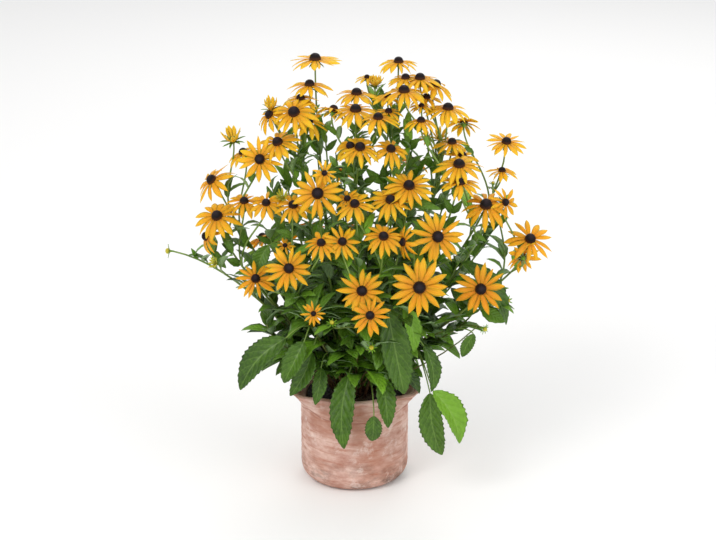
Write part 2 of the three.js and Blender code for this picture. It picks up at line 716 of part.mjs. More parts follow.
// Stem leaves, by a rule: they leave each leading stem one after another, each turned by the golden angle,
// longer low down. One that would meet a bloom or the pot is turned on until it is clear, or left out.
function stemLeafBlades() {
  const kept = [];
  for (const [number, { head, path }] of routes.entries()) {
    const long = path[0].distanceTo(head.seat) > 110;
    const places = head.leads === 1 ? [0.28, 0.52] : [0.3].slice(long ? 0 : 1);
    places.forEach((share, order) => {
      const base = alongPath(path, share).spot;
      const seed = number * 7 + order + 1;
      const low = THREE.MathUtils.clamp(1 - (base.z - soilHeight) / 420, 0.15, 1);
      const length = 24 + 52 * low * (0.8 + 0.4 * draw(seed, 3));
      for (let attempt = 0; attempt < 6; attempt += 1) {
        const turn = goldenAngle * (order + attempt * 3 + number);
        const way = facing(turn, 10 + 35 * draw(seed, attempt));
        const tip = base.clone().addScaledVector(way, length);
        if (leafIsClear(base, tip)) {
          const width = length * (0.3 + 0.1 * low);
          kept.push({ base, tip, width, face: new THREE.Vector3(0, 0, 1), arch: length * 0.12 });
          break;
        }
      }
    });
  }
  return kept;
}

// Blooms that touch one another grow together into one node; a petal that a stem crosses is cut short.
function bloomGroups(clearOfStems) {
  const trimmed = blooms.map((bloom) => ({ ...bloom, solid: mainBody(bloom.solid.subtract(clearOfStems)) }));
  const groups = trimmed.map((bloom) => [bloom]);
  for (let i = 0; i < trimmed.length; i += 1) {
    for (let j = i + 1; j < trimmed.length; j += 1) {
      const apart = trimmed[i].centre.distanceTo(trimmed[j].centre);
      const touching = apart < trimmed[i].radius + trimmed[j].radius + 4
        && trimmed[i].solid.intersect(trimmed[j].solid).volume() > 0;
      const first = groups.find((group) => group.includes(trimmed[i]));
      const second = groups.find((group) => group.includes(trimmed[j]));
      if (touching && first !== second) {
        first.push(...second);
        groups.splice(groups.indexOf(second), 1);
      }
    }
  }
  return groups;
}

const pot = potSolid();
const soil = soilSolid();
const stemLeaves = stemLeafBlades();
const clearOfStems = joined([
  ...stemSolids(seatGap),
  ...largeLeafSolids(seatGap),
  ...stemLeaves.map((blade) => bladeSolid({ ...blade, grow: seatGap })),
]);
const groups = bloomGroups(clearOfStems);
const bloomBodies = groups.map((group) => mainBody(joined(group.map(({ solid }) => solid))));
const green = mainBody(joined([
  crownSolid(),
  ...stemSolids(0),
  ...budHeads.map(({ solid }) => solid),
  ...largeLeafSolids(0),
  ...stemLeaves.map(bladeSolid),
]));

const terracotta = new THREE.MeshStandardMaterial({ color: 0xd8a18b, roughness: 0.92, metalness: 0 });
const pottingSoil = new THREE.MeshStandardMaterial({ color: 0x1e1618, roughness: 1, metalness: 0 });
const leafGreen = new THREE.MeshStandardMaterial({ color: 0x3a662a, roughness: 0.55, metalness: 0 });
const petalGold = new THREE.MeshStandardMaterial({ color: 0xf7a61d, roughness: 0.6, metalness: 0 });

const plant = new THREE.Group();
plant.add(meshOf('pot', pot, terracotta));
plant.add(meshOf('soil', soil, pottingSoil));
plant.add(meshOf('leafy_stems', green, leafGreen));
groups.forEach((group, index) => {
  const labels = group.map(({ label }) => label).sort();
  const name = `${labels.length > 1 ? 'blooms' : 'bloom'}_${labels.join('_')}`;
  plant.add(meshOf(name, bloomBodies[index], petalGold.clone()));
});

export default plant;
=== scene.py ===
# A dwarf orange coneflower in full bloom, in a hand-shaped terracotta pot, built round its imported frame.
# Metres, +Z up. The origin is the middle of the pot's foot, and the plant is looked at along +Y.

import functools
import math

import bpy
import numpy as np
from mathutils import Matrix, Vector


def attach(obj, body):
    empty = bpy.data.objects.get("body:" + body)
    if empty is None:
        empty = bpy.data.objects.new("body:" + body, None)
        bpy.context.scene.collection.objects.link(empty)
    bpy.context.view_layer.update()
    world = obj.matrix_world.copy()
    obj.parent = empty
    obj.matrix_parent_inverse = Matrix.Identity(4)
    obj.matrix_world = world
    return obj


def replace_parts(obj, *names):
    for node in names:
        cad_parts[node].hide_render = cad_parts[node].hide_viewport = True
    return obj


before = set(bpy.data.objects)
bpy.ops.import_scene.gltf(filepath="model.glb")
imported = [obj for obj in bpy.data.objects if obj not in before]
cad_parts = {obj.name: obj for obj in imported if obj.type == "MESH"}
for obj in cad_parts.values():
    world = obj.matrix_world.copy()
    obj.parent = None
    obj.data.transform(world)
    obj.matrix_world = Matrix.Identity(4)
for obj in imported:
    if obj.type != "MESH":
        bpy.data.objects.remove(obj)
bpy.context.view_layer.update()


# The pot: a thrown terracotta cylinder, its rim pulled out by hand into four corners while the clay was soft,
# with three drain holes cut in the floor. The fired clay is matt, washed pale and stained near the ground.

POT_RADIUS = 0.073
POT_WALL = 0.007
POT_FLOOR = 0.009
FOOT_ROUNDING = 0.019
CREASE_HEIGHT = 0.105
CREASE_RISE = 0.006
RIM_HEIGHT = 0.136
RIM_SPREAD = 0.002
CORNER_SPREAD = 0.023
CORNER_LIFT = 0.003
CORNER_BEARINGS = np.radians([-55.0, 61.0, 126.0, -126.0])
CORNER_WIDTH = math.radians(16.0)
FLARE_CURVE = 1.05
LIP_ROUNDING = 0.0022
FOLD_OVERHANG = 0.0020
FOLD_WIDTH = math.radians(40.0)
FOLD_RISE = 0.003
FOLD_FALL = 0.030
POT_SIDES = 256
THROWING_MARK_SPACING = 0.0065
THROWING_MARK_DEPTH = 0.00022
DRAIN_RADIUS = 0.0045
DRAIN_RING = 0.024
DRAIN_BEARINGS = np.radians([60.0, 180.0, 300.0])
DRAIN_SIDES = 24
INNER_FOOT = FOOT_ROUNDING + 0.008


def paint(sheet_colour):
    """An sRGB hex colour as the linear red, green, blue and alpha that a shader takes."""
    parts = np.array([int(sheet_colour[i:i + 2], 16) for i in (1, 3, 5)]) / 255.0
    linear = np.where(parts <= 0.04045, parts / 12.92, ((parts + 0.055) / 1.055) ** 2.4)
    return (*linear, 1.0)


def fill_inputs(tree, node, inputs):
    """Gives a node its inputs, by name or number: a value is set, and another node's output is linked."""
    for name, value in inputs.items():
        if isinstance(value, bpy.types.NodeSocket):
            tree.links.new(value, node.inputs[name])
        else:
            node.inputs[name].default_value = value


def add_node(tree, kind, inputs, output=0, **settings):
    """Adds a node with its settings and its inputs to a material's tree, and gives one of its outputs."""
    made = tree.nodes.new("ShaderNode" + kind)
    for name, value in settings.items():
        setattr(made, name, value)
    fill_inputs(tree, made, inputs)
    return made.outputs[output]


def start_material(name):
    """A new material, the call that adds nodes to it, and the Object coordinates that its patterns lie in."""
    material = bpy.data.materials.new(name)
    material.use_nodes = True
    add = functools.partial(add_node, material.node_tree)
    return material, add, add("TexCoord", {}, "Object")


def finish_material(material, inputs):
    """Gives a material's shader its colour and finish."""
    fill_inputs(material.node_tree, material.node_tree.nodes["Principled BSDF"], inputs)


def round_steps(sides):
    """Bearings of points that are evenly spaced round a circle."""
    return np.arange(sides) * 2 * math.pi / sides


def grid_quads(rows, columns, round_columns=False):
    """Quads of a grid of points numbered row by row; round columns join the last column to the first."""
    row, column = np.meshgrid(
        np.arange(rows - 1), np.arange(columns if round_columns else columns - 1), indexing="ij"
    )
    following = (column + 1) % columns
    corners = [row * columns + column, row * columns + following,
               (row + 1) * columns + following, (row + 1) * columns + column]
    return np.stack(corners, axis=-1).reshape(-1, 4)


def tube_faces(rings, sides):
    """Quads between the rings of a closed tube, and triangles that close each end on a pole point. The points
    are numbered ring by ring, and the first and last pole come after them."""
    side = np.arange(sides)
    following = (side + 1) % sides
    first_pole, last_pole = rings * sides, rings * sides + 1
    start = np.stack([np.full(sides, first_pole), following, side], axis=-1)
    end = np.stack([np.full(sides, last_pole), side, following], axis=-1)
    end[:, 1:] += (rings - 1) * sides
    return grid_quads(rings, sides, round_columns=True), np.concatenate([start, end])


def add_piece(name, points, quads, triangles, material, slot, corners=None, tone=None):
    """A smooth mesh object from points and faces. Corners hold two pattern coordinates for each face corner,
    quads first, and tone a number for each point."""
    mesh = bpy.data.meshes.new(name)
    mesh.vertices.add(len(points))
    mesh.vertices.foreach_set("co", np.asarray(points, dtype=np.float32).ravel())
    loops = np.concatenate([quads.ravel(), triangles.ravel()]).astype(np.int32)
    sizes = np.concatenate([np.full(len(quads), 4), np.full(len(triangles), 3)])
    mesh.loops.add(len(loops))
    mesh.loops.foreach_set("vertex_index", loops)
    mesh.polygons.add(len(sizes))
    mesh.polygons.foreach_set("loop_start", (np.cumsum(sizes) - sizes).astype(np.int32))
    mesh.polygons.foreach_set("use_smooth", np.ones(len(sizes), dtype=bool))
    mesh.update(calc_edges=True)
    if corners is not None:
        growth = mesh.uv_layers.new(name="growth")
        growth.data.foreach_set("uv", np.asarray(corners, dtype=np.float32).ravel())
    if tone is not None:
        attribute = mesh.attributes.new("tone", "FLOAT", "POINT")
        attribute.data.foreach_set("value", np.asarray(tone, dtype=np.float32).ravel())
    mesh.materials.append(material)
    piece = bpy.data.objects.new(name, mesh)
    bpy.context.scene.collection.objects.link(piece)
    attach(piece, "root")
    return piece


def closed_rings(rings, first, last):
    """Points and faces of a closed tube of rings; its poles are on the pot's axis at two heights."""
    points = np.concatenate([*rings, [[0, 0, first], [0, 0, last]]])
    return points, *tube_faces(len(rings), len(rings[0]))


def corner_pull(bearing, width=CORNER_WIDTH):
    """How strongly the rim is pulled out at a bearing: the greatest of four bell curves, one a corner."""
    apart = (bearing[..., None] - CORNER_BEARINGS + math.pi) % (2 * math.pi) - math.pi
    return np.exp(-((apart / width) ** 2)).max(axis=-1)


def crease_at(bearing):
    """The height that the rim bends out from: low between the corners, and higher by their pull."""
    return CREASE_HEIGHT + CREASE_RISE * corner_pull(bearing)


def flared_radius(bearing, share):
    """Outer radius at a share of the way from crease to rim: the body's plus the spread by share ^ 1.05."""
    return POT_RADIUS + share ** FLARE_CURVE * (RIM_SPREAD + CORNER_SPREAD * corner_pull(bearing))


def flared_height(bearing, share):
    """Height at a share of the way from crease to rim, which rises with the pull at the corners."""
    crease = crease_at(bearing)
    return crease + share * (RIM_HEIGHT + CORNER_LIFT * corner_pull(bearing) - crease)


def fold_overhang(bearing, height):
    """How far the folded clay hangs out over the wall just above the crease, most near the corners: it
    comes out within the fold's rise and sinks back towards the rim."""
    above = np.maximum(height - crease_at(bearing), 0.0)
    swell = np.tanh(above / FOLD_RISE) * np.exp(-above / FOLD_FALL)
    return FOLD_OVERHANG * corner_pull(bearing, FOLD_WIDTH) * swell


def turned(bearing, radius, height):
    """Points at a bearing (0 towards the eye, 90 degrees to the right), a radius and a height."""
    radius, height, bearing = np.broadcast_arrays(radius, height, bearing)
    return np.stack([radius * np.sin(bearing), -radius * np.cos(bearing), height], axis=-1)


def throwing_marks(height, bearing):
    """How far the wall stands out at a height: two slow waves up the pot that wander a little round it."""
    turn = 2 * math.pi * height / THROWING_MARK_SPACING
    slow_turn = 0.43 * turn + 1.1 * np.cos(bearing)
    return THROWING_MARK_DEPTH * (np.sin(turn + 0.6 * np.sin(bearing)) + 0.7 * np.sin(slow_turn))


bearing = round_steps(POT_SIDES)
foot_flat = POT_RADIUS - FOOT_ROUNDING
rings = [turned(bearing, foot_flat * share, 0.0) for share in (0.35, 0.7, 1.0)]
for angle in np.radians(np.arange(6, 91, 6)):
    out = foot_flat + FOOT_ROUNDING * math.sin(angle)
    rings.append(turned(bearing, out, FOOT_ROUNDING * (1 - math.cos(angle))))
for share in np.append(np.linspace(0.02, 0.98, 50), 0.995):
    height = FOOT_ROUNDING + share * (crease_at(bearing) - FOOT_ROUNDING)
    rings.append(turned(bearing, POT_RADIUS + throwing_marks(height, bearing), height))
for share in np.concatenate([[0.0, 0.02, 0.045], np.linspace(0.07, 0.95, 25)]):
    height = flared_height(bearing, share)
    out = flared_radius(bearing, share) + throwing_marks(height, bearing) + fold_overhang(bearing, height)
    rings.append(turned(bearing, out, height))
lip_middle = flared_radius(bearing, 1.0) - POT_WALL / 2
for angle in np.radians(np.arange(15, 180, 15)):
    rings.append(turned(
        bearing,
        lip_middle + POT_WALL / 2 * math.cos(angle),
        flared_height(bearing, 1.0) - LIP_ROUNDING * (1 - math.sin(angle)),
    ))
for share in np.linspace(0.92, 0.0, 20):
    rings.append(turned(bearing, flared_radius(bearing, share) - POT_WALL, flared_height(bearing, share)))
for share in np.linspace(0.95, 0.0, 12):
    height = INNER_FOOT + share * (crease_at(bearing) - INNER_FOOT)
    rings.append(turned(bearing, POT_RADIUS - POT_WALL, height))
for share in np.linspace(0.0, 1.0, 7):
    rings.append(turned(
        bearing,
        foot_flat + (POT_RADIUS - POT_WALL - foot_flat) * math.cos(share * math.pi / 2),
        POT_FLOOR + (INNER_FOOT - 0.001 - POT_FLOOR) * (1 - math.sin(share * math.pi / 2)),
    ))
rings.append(turned(bearing, foot_flat * 0.6, POT_FLOOR))
pot_points, pot_quads, pot_ends = closed_rings(rings, 0.0, POT_FLOOR)
above_crease = pot_points[:, 2] - crease_at(np.arctan2(pot_points[:, 0], -pot_points[:, 1]))

# Low-fired red earthenware: matt, finely sandy, a wash of pale lime over a warm pink body, darker where damp.
# A MapRange's inputs are the value (0), the range that it comes from (1, 2) and what that becomes (3, 4).
terracotta, add, place = start_material("washed_terracotta")
SAND_GRAIN = 0.0009
WASH_PATCH = 0.034
FIRED_PATCH = 0.055
BRUSH_STROKE = 0.0294
STAIN_PATCH = 0.0417
LIME_BLOOM = 0.0217
squashed = add("Mapping", {"Vector": place, "Scale": (1.0, 1.0, 1.7)})
wash = add("TexNoise", {"Vector": squashed, "Scale": 1 / WASH_PATCH, "Detail": 6.0, "Roughness": 0.62})
wash_share = add("MapRange", {0: wash, 1: 0.30, 2: 0.72})
patches = add("TexNoise", {"Vector": place, "Scale": 1 / FIRED_PATCH, "Detail": 3.0})
patch_share = add("MapRange", {0: patches, 1: 0.46, 2: 0.66, 4: 0.6})
drawn_out = add("Mapping", {"Vector": place, "Scale": (0.9, 0.9, 7.0)})
strokes = add("TexNoise", {
    "Vector": drawn_out, "Scale": 1 / BRUSH_STROKE, "Detail": 6.0, "Roughness": 0.6, "Distortion": 0.4,
})
stroke_share = add("MapRange", {0: strokes, 1: 0.50, 2: 0.70, 4: 0.66})
# Painted shade: a thin darker band just under the crease, where the folded rim overhangs the wall.
above = add("Attribute", {}, "Fac", attribute_name="tone")
from_fold = add("Math", {0: add("Math", {0: above, 1: 0.0006}, operation="ADD")}, operation="ABSOLUTE")
painted_fold_shade = add("MapRange", {0: from_fold, 1: 0.0018, 2: 0.0003, 4: 0.6})
up = add("SeparateXYZ", {0: place}, 2)
low_share = add("MapRange", {0: up, 1: 0.060, 2: 0.008})
stain = add("TexNoise", {"Vector": squashed, "Scale": 1 / STAIN_PATCH, "Detail": 8.0, "Roughness": 0.7})
stain_spots = add("MapRange", {0: stain, 1: 0.48, 2: 0.68})
stain_share = add("Math", {0: stain_spots, 1: low_share}, operation="MULTIPLY")
lime = add("TexNoise", {"Vector": place, "Scale": 1 / LIME_BLOOM, "Detail": 9.0, "Roughness": 0.74})
lime_share = add("MapRange", {0: lime, 1: 0.54, 2: 0.70, 4: 0.72})

# The layers over the pink body: pale wash, redder firing, brush strokes, painted shade under the fold,
# damp and lime.
colour = paint("#A87462")
for share, layer in (
    (wash_share, "#E8CABD"), (patch_share, "#A66E55"), (stroke_share, "#A4644A"),
    (painted_fold_shade, "#8E5643"), (stain_share, "#5E4A40"), (lime_share, "#E4D3CA"),
):
    colour = add("Mix", {0: share, 6: colour, 7: paint(layer)}, 2, data_type="RGBA")
grain = add("TexNoise", {"Vector": place, "Scale": 1 / SAND_GRAIN, "Detail": 3.0})
finish_material(terracotta, {
    "Base Color": colour, "Roughness": 0.93, "Specular IOR Level": 0.25,
    "Normal": add("Bump", {"Strength": 0.35, "Distance": 0.0004, "Height": grain}),
})

pot = add_piece("pot_body", pot_points, pot_quads, pot_ends, terracotta, "terracotta", tone=above_crease)

# Each hole is cut by a round plug that reaches through the floor from below it to above it.
plug_ends = (-POT_FLOOR, 2 * POT_FLOOR)
plug_points, plug_quads, plug_caps = closed_rings(
    [turned(round_steps(DRAIN_SIDES), DRAIN_RADIUS, level) for level in plug_ends], *plug_ends
)
for number, turn in enumerate(DRAIN_BEARINGS):
    cutter_mesh = bpy.data.meshes.new(f"drain_cutter_{number}")
    middle = turned(turn, DRAIN_RING, 0.0)
    cutter_mesh.from_pydata((plug_points + middle).tolist(), [], plug_quads.tolist() + plug_caps.tolist())
    cutter = bpy.data.objects.new(cutter_mesh.name, cutter_mesh)
    bpy.context.scene.collection.objects.link(cutter)
    drain = pot.modifiers.new("drain_hole", "BOOLEAN")
    drain.object = cutter
    drain.solver = "FAST"
    bpy.context.view_layer.update()
    drained = bpy.data.meshes.new_from_object(pot.evaluated_get(bpy.context.evaluated_depsgraph_get()))
    pot.modifiers.clear()
    pot.data = drained
    bpy.data.objects.remove(cutter)
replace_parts(pot, "pot")


# The soil: dark, damp potting mix of peat and bark that fills the pot to a little under its rim. Its top is
# crumbly, and it was pressed down round the crown, which sits in a plain hole.

SOIL_HEIGHT = 0.119
CROWN_RADIUS = 0.033
CROWN_DEPTH = 0.018
SEAT_GAP = 0.00035
SOIL_SIDES = 160
SOIL_FOOT = POT_FLOOR + 0.0004
WALL_CLEARANCE = 0.0008
RIM_CLEARANCE = 0.0016
CORNER_CLEARANCE = 0.0035
CRUMB = 0.0035
CRUMB_RISE = 0.0013
SAND_SPECK = 0.002


def crumbled(points, size):
    """How high the crumbs stand at points on the level: waves in three directions that bend each other."""
    x, y = points[..., 0] / size, points[..., 1] / size
    first = np.sin(1.7 * x + 1.3 * np.sin(0.9 * y)) * np.sin(1.5 * y + 1.1 * np.sin(1.1 * x + 2.0))
    second = np.sin(3.9 * x + 2.7 * y + 2.0 * np.sin(0.7 * x)) * np.sin(3.1 * y - 2.3 * x + 1.0)
    return 0.65 * first + 0.35 * second


def soil_radius(bearing, height):
    """The radius the soil may have at a height, clear of the pot's inner wall."""
    crease = crease_at(bearing)
    share = np.maximum(0.0, (height - crease) / (flared_height(bearing, 1.0) - crease))
    return flared_radius(bearing, share) - POT_WALL - RIM_CLEARANCE - CORNER_CLEARANCE * corner_pull(bearing)


bearing = round_steps(SOIL_SIDES)
body = POT_RADIUS - POT_WALL - WALL_CLEARANCE
edge = soil_radius(bearing, SOIL_HEIGHT) - 0.001
hole = CROWN_RADIUS + SEAT_GAP
lower, upper = FOOT_ROUNDING + 0.009, np.minimum(crease_at(bearing), SOIL_HEIGHT - 0.007) - 0.001
rings = [turned(bearing, POT_RADIUS - FOOT_ROUNDING - 0.001, SOIL_FOOT)]
rings += [turned(bearing, body, lower + share * (upper - lower)) for share in np.linspace(0.0, 1.0, 6)]
rings.append(turned(bearing, edge, SOIL_HEIGHT - 0.003))
for share in np.linspace(0.0, 1.0, 30):
    flat = turned(bearing, edge * (1 - share) + hole * share, SOIL_HEIGHT)
    flat[:, 2] += CRUMB_RISE * crumbled(flat, CRUMB) - 0.001 * (1 - share)
    rings.append(flat)
rings += [turned(bearing, hole, SOIL_HEIGHT - depth) for depth in (0.004, CROWN_DEPTH)]

# Peat and bark potting mix: near black when damp, rough, with brown bark crumbs and a few pale grains.
potting_mix, add, place = start_material("damp_potting_mix")
crumbs = add("TexVoronoi", {"Vector": place, "Scale": 1 / CRUMB})
speck = add("TexNoise", {"Vector": place, "Scale": 1 / SAND_SPECK, "Detail": 4.0})
speck_share = add("MapRange", {0: speck, 1: 0.58, 2: 0.72})
mixed = add("Mix", {0: speck_share, 6: paint("#1E1618"), 7: paint("#4A3426")}, 2, data_type="RGBA")
finish_material(potting_mix, {
    "Base Color": mixed, "Roughness": 0.98,
    "Normal": add("Bump", {"Strength": 0.8, "Distance": 0.001, "Height": crumbs}),
})
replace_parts(add_piece(
    "soil_fill", *closed_rings(rings, SOIL_FOOT, SOIL_HEIGHT - CROWN_DEPTH), potting_mix, "potting_soil",
), "soil")


# The stems: thin, ribbed and slightly hairy, green above and red-brown low down. Leading stems rise from the
# crown, side stems fork from them, and each ends in a bloom or a bud.

STEM_RADIUS = 0.0015
SIDE_STEM_RADIUS = 0.0011
CALYX_LENGTH = 0.004
START_PULL = 0.38
END_PULL = 0.26
BLOOM_NECK_RISE = 0.9
BUD_NECK_RISE = 0.2
CONE_SHARE = 0.21
CONE_RISE = 1.15
CONE_MIDDLE = 0.09
PETAL_FOOT = 0.8
PETAL_THICKNESS = 0.0011
STEM_FOOT = SOIL_HEIGHT - 0.001
OPENING_DROOP = -20.0
LEAST_BLOOM = 0.010
PETALS_KEPT = 0.75
LEADING_PIECES = 4
STEM_RINGS = 15
STEM_SIDES = 8

# The sight line that the places were read along: how far off the eye is, how steeply it looks down, the point
# it looks at, the picture's middle, and how many picture places a metre spans at one metre from the eye.
EYE_DISTANCE = 2.7
EYE_PITCH = math.radians(20.5)
AIM = np.array([0.0047, 0.0, 0.296])
PICTURE_MIDDLE = (358.0, 270.0)
PICTURE_SCALE = 2025.0
EYE_PLACE = AIM + EYE_DISTANCE * np.array([0.0, -math.cos(EYE_PITCH), math.sin(EYE_PITCH)])

# Blooms, each as the eye reads it: the cone's place across and down the picture, how near it stands to the
# eye from the pot's axis, its radius, the way it faces (0 to the eye, 90 to the right) and how far up, the
# fall of its petals (less than 0 where they still rise), its petals, and 1 where its stem comes up from the
# crown.
HEADS = np.array([
    [315, 57, -0.02, 0.037, 0, 86, 14, 12, 1],
    [309.5, 83, -0.005, 0.032, 0, 85, 40, 11, 0],
    [300.5, 97, 0.008, 0.028, -10, 80, 46, 10, 0],
    [293.5, 111, 0.042, 0.037, -10, 54, 46, 12, 1],
    [309, 119.5, 0.024, 0.03, 30, 55, 38, 10, 0],
    [268.5, 114, 0.022, 0.029, -50, 45, 62, 10, 0],
    [271, 107, 0.008, 0.019, -10, 72, -88, 9, 0],
    [259.5, 159, 0.058, 0.032, -5, 22, 16, 12, 0],
    [277, 141, 0.046, 0.034, -30, 62, 40, 11, 0],
    [242.5, 151, 0.004, 0.028, -65, 66, 60, 10, 0],
    [210.5, 179, 0.02, 0.034, -60, 45, 36, 11, 1],
    [216.5, 215, 0.056, 0.036, -20, 55, 46, 12, 1],
    [205, 236, 0.054, 0.03, -70, 20, 60, 10, 0],
    [244, 200, 0.052, 0.028, 0, 68, 46, 10, 0],
    [266, 202, 0.074, 0.027, 0, 56, 46, 10, 0],
    [282.5, 197.5, 0.062, 0.014, 0, 52, -66, 9, 0],
    [293, 204, 0.082, 0.03, 5, 60, 50, 10, 0],
    [317.5, 193, 0.104, 0.036, 0, 28, 22, 12, 1],
    [324.5, 173, 0.099, 0.018, 10, 20, 12, 9, 0],
    [354.5, 203, 0.104, 0.03, -15, 56, 44, 11, 0],
    [347, 198, 0.094, 0.022, -30, 55, 42, 9, 0],
    [360, 146, 0.062, 0.033, 8, 60, 54, 11, 0],
    [350, 145, 0.058, 0.028, -25, 60, 52, 9, 0],
    [391, 148, 0.056, 0.03, 15, 60, 56, 10, 0],
    [356.5, 91.5, -0.012, 0.034, 0, 84, 32, 11, 0],
    [355.5, 108, 0.026, 0.036, 0, 78, 42, 12, 1],
    [378, 116, 0.044, 0.032, 0, 78, 48, 11, 0],
    [388.5, 110.5, 0.024, 0.024, 15, 78, 44, 9, 0],
    [398.5, 60, -0.046, 0.031, 0, 86, 40, 11, 1],
    [367, 76.5, -0.052, 0.019, -10, 84, 40, 9, 0],
    [375, 84, -0.044, 0.017, 0, 80, -80, 13, 0],
    [405.5, 76.5, -0.023, 0.028, 0, 84, 34, 10, 0],
    [420, 76.5, -0.018, 0.033, 0, 84, 38, 11, 0],
    [436.5, 83, -0.022, 0.032, 60, 66, 46, 10, 0],
    [404, 89, 0.012, 0.036, 0, 82, 50, 12, 0],
    [387.5, 95, -0.004, 0.026, -20, 84, 44, 9, 0],
    [426.5, 96, -0.02, 0.026, 20, 84, 46, 9, 0],
    [421.5, 105, 0.004, 0.018, 0, 80, 40, 9, 0],
    [421, 119.5, 0.032, 0.027, 0, 84, 62, 10, 0],
    [448, 106.5, -0.004, 0.035, 10, 84, 38, 12, 1],
    [464, 121, -0.052, 0.027, 175, 42, 44, 10, 0],
    [427.5, 137, -0.017, 0.013, 0, 40, 40, 8, 0],
    [440, 138, -0.02, 0.018, 10, 56, -66, 9, 0],
    [452, 141, 0.006, 0.029, 0, 80, 40, 11, 0],
    [463, 155, 0.004, 0.028, 45, 55, 26, 10, 0],
    [459, 163, 0.048, 0.037, 0, 70, 42, 12, 1],
    [460.5, 181, 0.066, 0.031, 10, 74, 46, 10, 0],
    [506.5, 140.5, -0.01, 0.031, 10, 74, 18, 11, 1],
    [502, 169.5, -0.004, 0.024, 5, 82, 46, 10, 0],
    [486, 203.5, 0.062, 0.039, 0, 58, 60, 11, 1],
    [506, 202, 0.057, 0.024, 30, 25, 28, 9, 0],
    [409, 184.5, 0.078, 0.036, 5, 60, 18, 13, 1],
    [390.5, 199, 0.092, 0.033, 0, 62, 32, 12, 0],
    [285, 245, 0.088, 0.015, 0, 50, 34, 9, 0],
    [321, 242, 0.132, 0.028, -5, 58, 50, 11, 0],
    [342.5, 241, 0.129, 0.028, 15, 46, 26, 11, 0],
    [383.5, 235.5, 0.126, 0.031, 0, 56, 46, 12, 1],
    [402, 242, 0.12, 0.027, -60, 10, 46, 9, 0],
    [438, 236.5, 0.124, 0.036, 5, 24, 10, 13, 0],
    [530.5, 238, 0.048, 0.035, 10, 50, 30, 12, 1],
    [521.5, 256, 0.046, 0.027, -160, 15, 20, 10, 0],
    [289, 268, 0.138, 0.032, 10, 32, 14, 13, 1],
    [255.5, 278, 0.1, 0.029, 0, 45, 22, 12, 0],
    [362, 290.5, 0.148, 0.033, 5, 36, 12, 13, 1],
    [419.5, 287.5, 0.156, 0.039, 0, 22, 10, 14, 1],
    [481, 289, 0.104, 0.036, 5, 24, 14, 13, 1],
    [370, 315, 0.168, 0.028, 0, 40, 12, 12, 0],
    [313.5, 313.5, 0.148, 0.017, 10, 30, 8, 11, 0],
    [215, 263, 0.062, 0.012, -50, 30, -60, 9, 0],
    [232.5, 139, 0.01, 0.024, -20, 64, -84, 9, 0],
    [345, 226, -0.096, 0.033, 180, 48, 20, 12, 1],
    [387, 232, -0.102, 0.034, 165, 42, 18, 12, 1],
    [436, 222, -0.092, 0.032, 150, 46, 24, 11, 0],
    [306, 226, -0.094, 0.033, 200, 44, 22, 12, 0],
    [262, 236, -0.066, 0.031, 220, 50, 26, 11, 0],
    [322, 268, -0.122, 0.034, 190, 36, 14, 12, 0],
    [368, 276, -0.128, 0.035, 175, 34, 12, 13, 1],
    [412, 270, -0.116, 0.033, 160, 38, 16, 12, 0],
    [340, 170, -0.084, 0.032, 190, 56, 26, 11, 0],
    [412, 160, -0.088, 0.032, 170, 54, 26, 11, 1],
    [334, 108, 0.006, 0.029, 150, 58, 46, 10, 0],
])

# Green buds: place across and down, near, radius, the way it faces, how far up, and 1 for a leading stem.
BUDS = np.array([
    [169, 251, 0.024, 0.009, -80, 5, 1],
    [506.5, 300.5, 0.076, 0.009, 40, 30, 0],
    [484.5, 329, 0.084, 0.007, 40, -10, 0],
    [332, 323, 0.146, 0.007, 0, 50, 0],
    [371.5, 348, 0.132, 0.007, 0, 40, 0],
    [493, 183, 0.008, 0.005, 10, 80, 0],
])

# Leafy shoots without a bloom: the place of each one's top across and down, and how near it stands.
SHOOTS = np.array([
    [412, 130, 0.000], [421, 160, -0.020], [402, 150, 0.030], [362, 170, 0.010], [372, 192, -0.020],
    [325, 132, 0.000], [317, 150, -0.020], [272, 186, 0.020], [285, 174, -0.010], [268, 230, 0.040],
    [300, 232, -0.030], [430, 206, 0.020], [446, 194, -0.010], [499, 214, 0.020], [463, 250, 0.040],
    [336, 152, -0.040], [388, 132, -0.030], [478, 302, 0.060], [266, 322, 0.060], [404, 168, -0.040],
    [344, 166, -0.020], [412, 152, -0.020], [438, 252, 0.030], [252, 262, 0.050],
])


def draw(seed, salt):
    """A number from 0 to 1 that looks random: the fraction of a large multiple of a sine of both numbers."""
    wave = np.sin(np.asarray(seed) * 12.9898 + np.asarray(salt) * 78.233) * 43758.5453
    return wave - np.floor(wave)


def seen(across, down, near):
    """The place where the sight line through a place of the picture meets the upright plane at y = -near."""
    aside = np.asarray(across) - PICTURE_MIDDLE[0]
    upward = PICTURE_MIDDLE[1] - np.asarray(down)
    ray = np.stack([
        aside,
        PICTURE_SCALE * math.cos(EYE_PITCH) + upward * math.sin(EYE_PITCH),
        -PICTURE_SCALE * math.sin(EYE_PITCH) + upward * math.cos(EYE_PITCH),
    ], axis=-1)
    return EYE_PLACE + ray * ((-np.asarray(near) - EYE_PLACE[1]) / ray[..., 1])[..., None]


def facing(turn, tilt):
    """Unit directions that face some degrees round from the eye and some degrees up."""
    turn, tilt = np.radians(turn), np.radians(tilt)
    level = np.cos(tilt)
    return np.stack([np.sin(turn) * level, -np.cos(turn) * level, np.sin(tilt) + 0 * turn], axis=-1)


def unit(vectors):
    """Vectors divided by their lengths."""
    return vectors / np.maximum(np.linalg.norm(vectors, axis=-1, keepdims=True), 1e-9)


def square_to(axis):
    """Two directions square to an axis, the first level and the second up the slope."""
    level = unit(np.cross([0.0, 0.0, 1.0], axis))
    return level, np.cross(axis, level)


def round_axis(level, upslope, angle):
    """Directions square to an axis at an angle round it, from two directions that are square to it."""
    return level * np.cos(angle)[..., None] + upslope * np.sin(angle)[..., None]


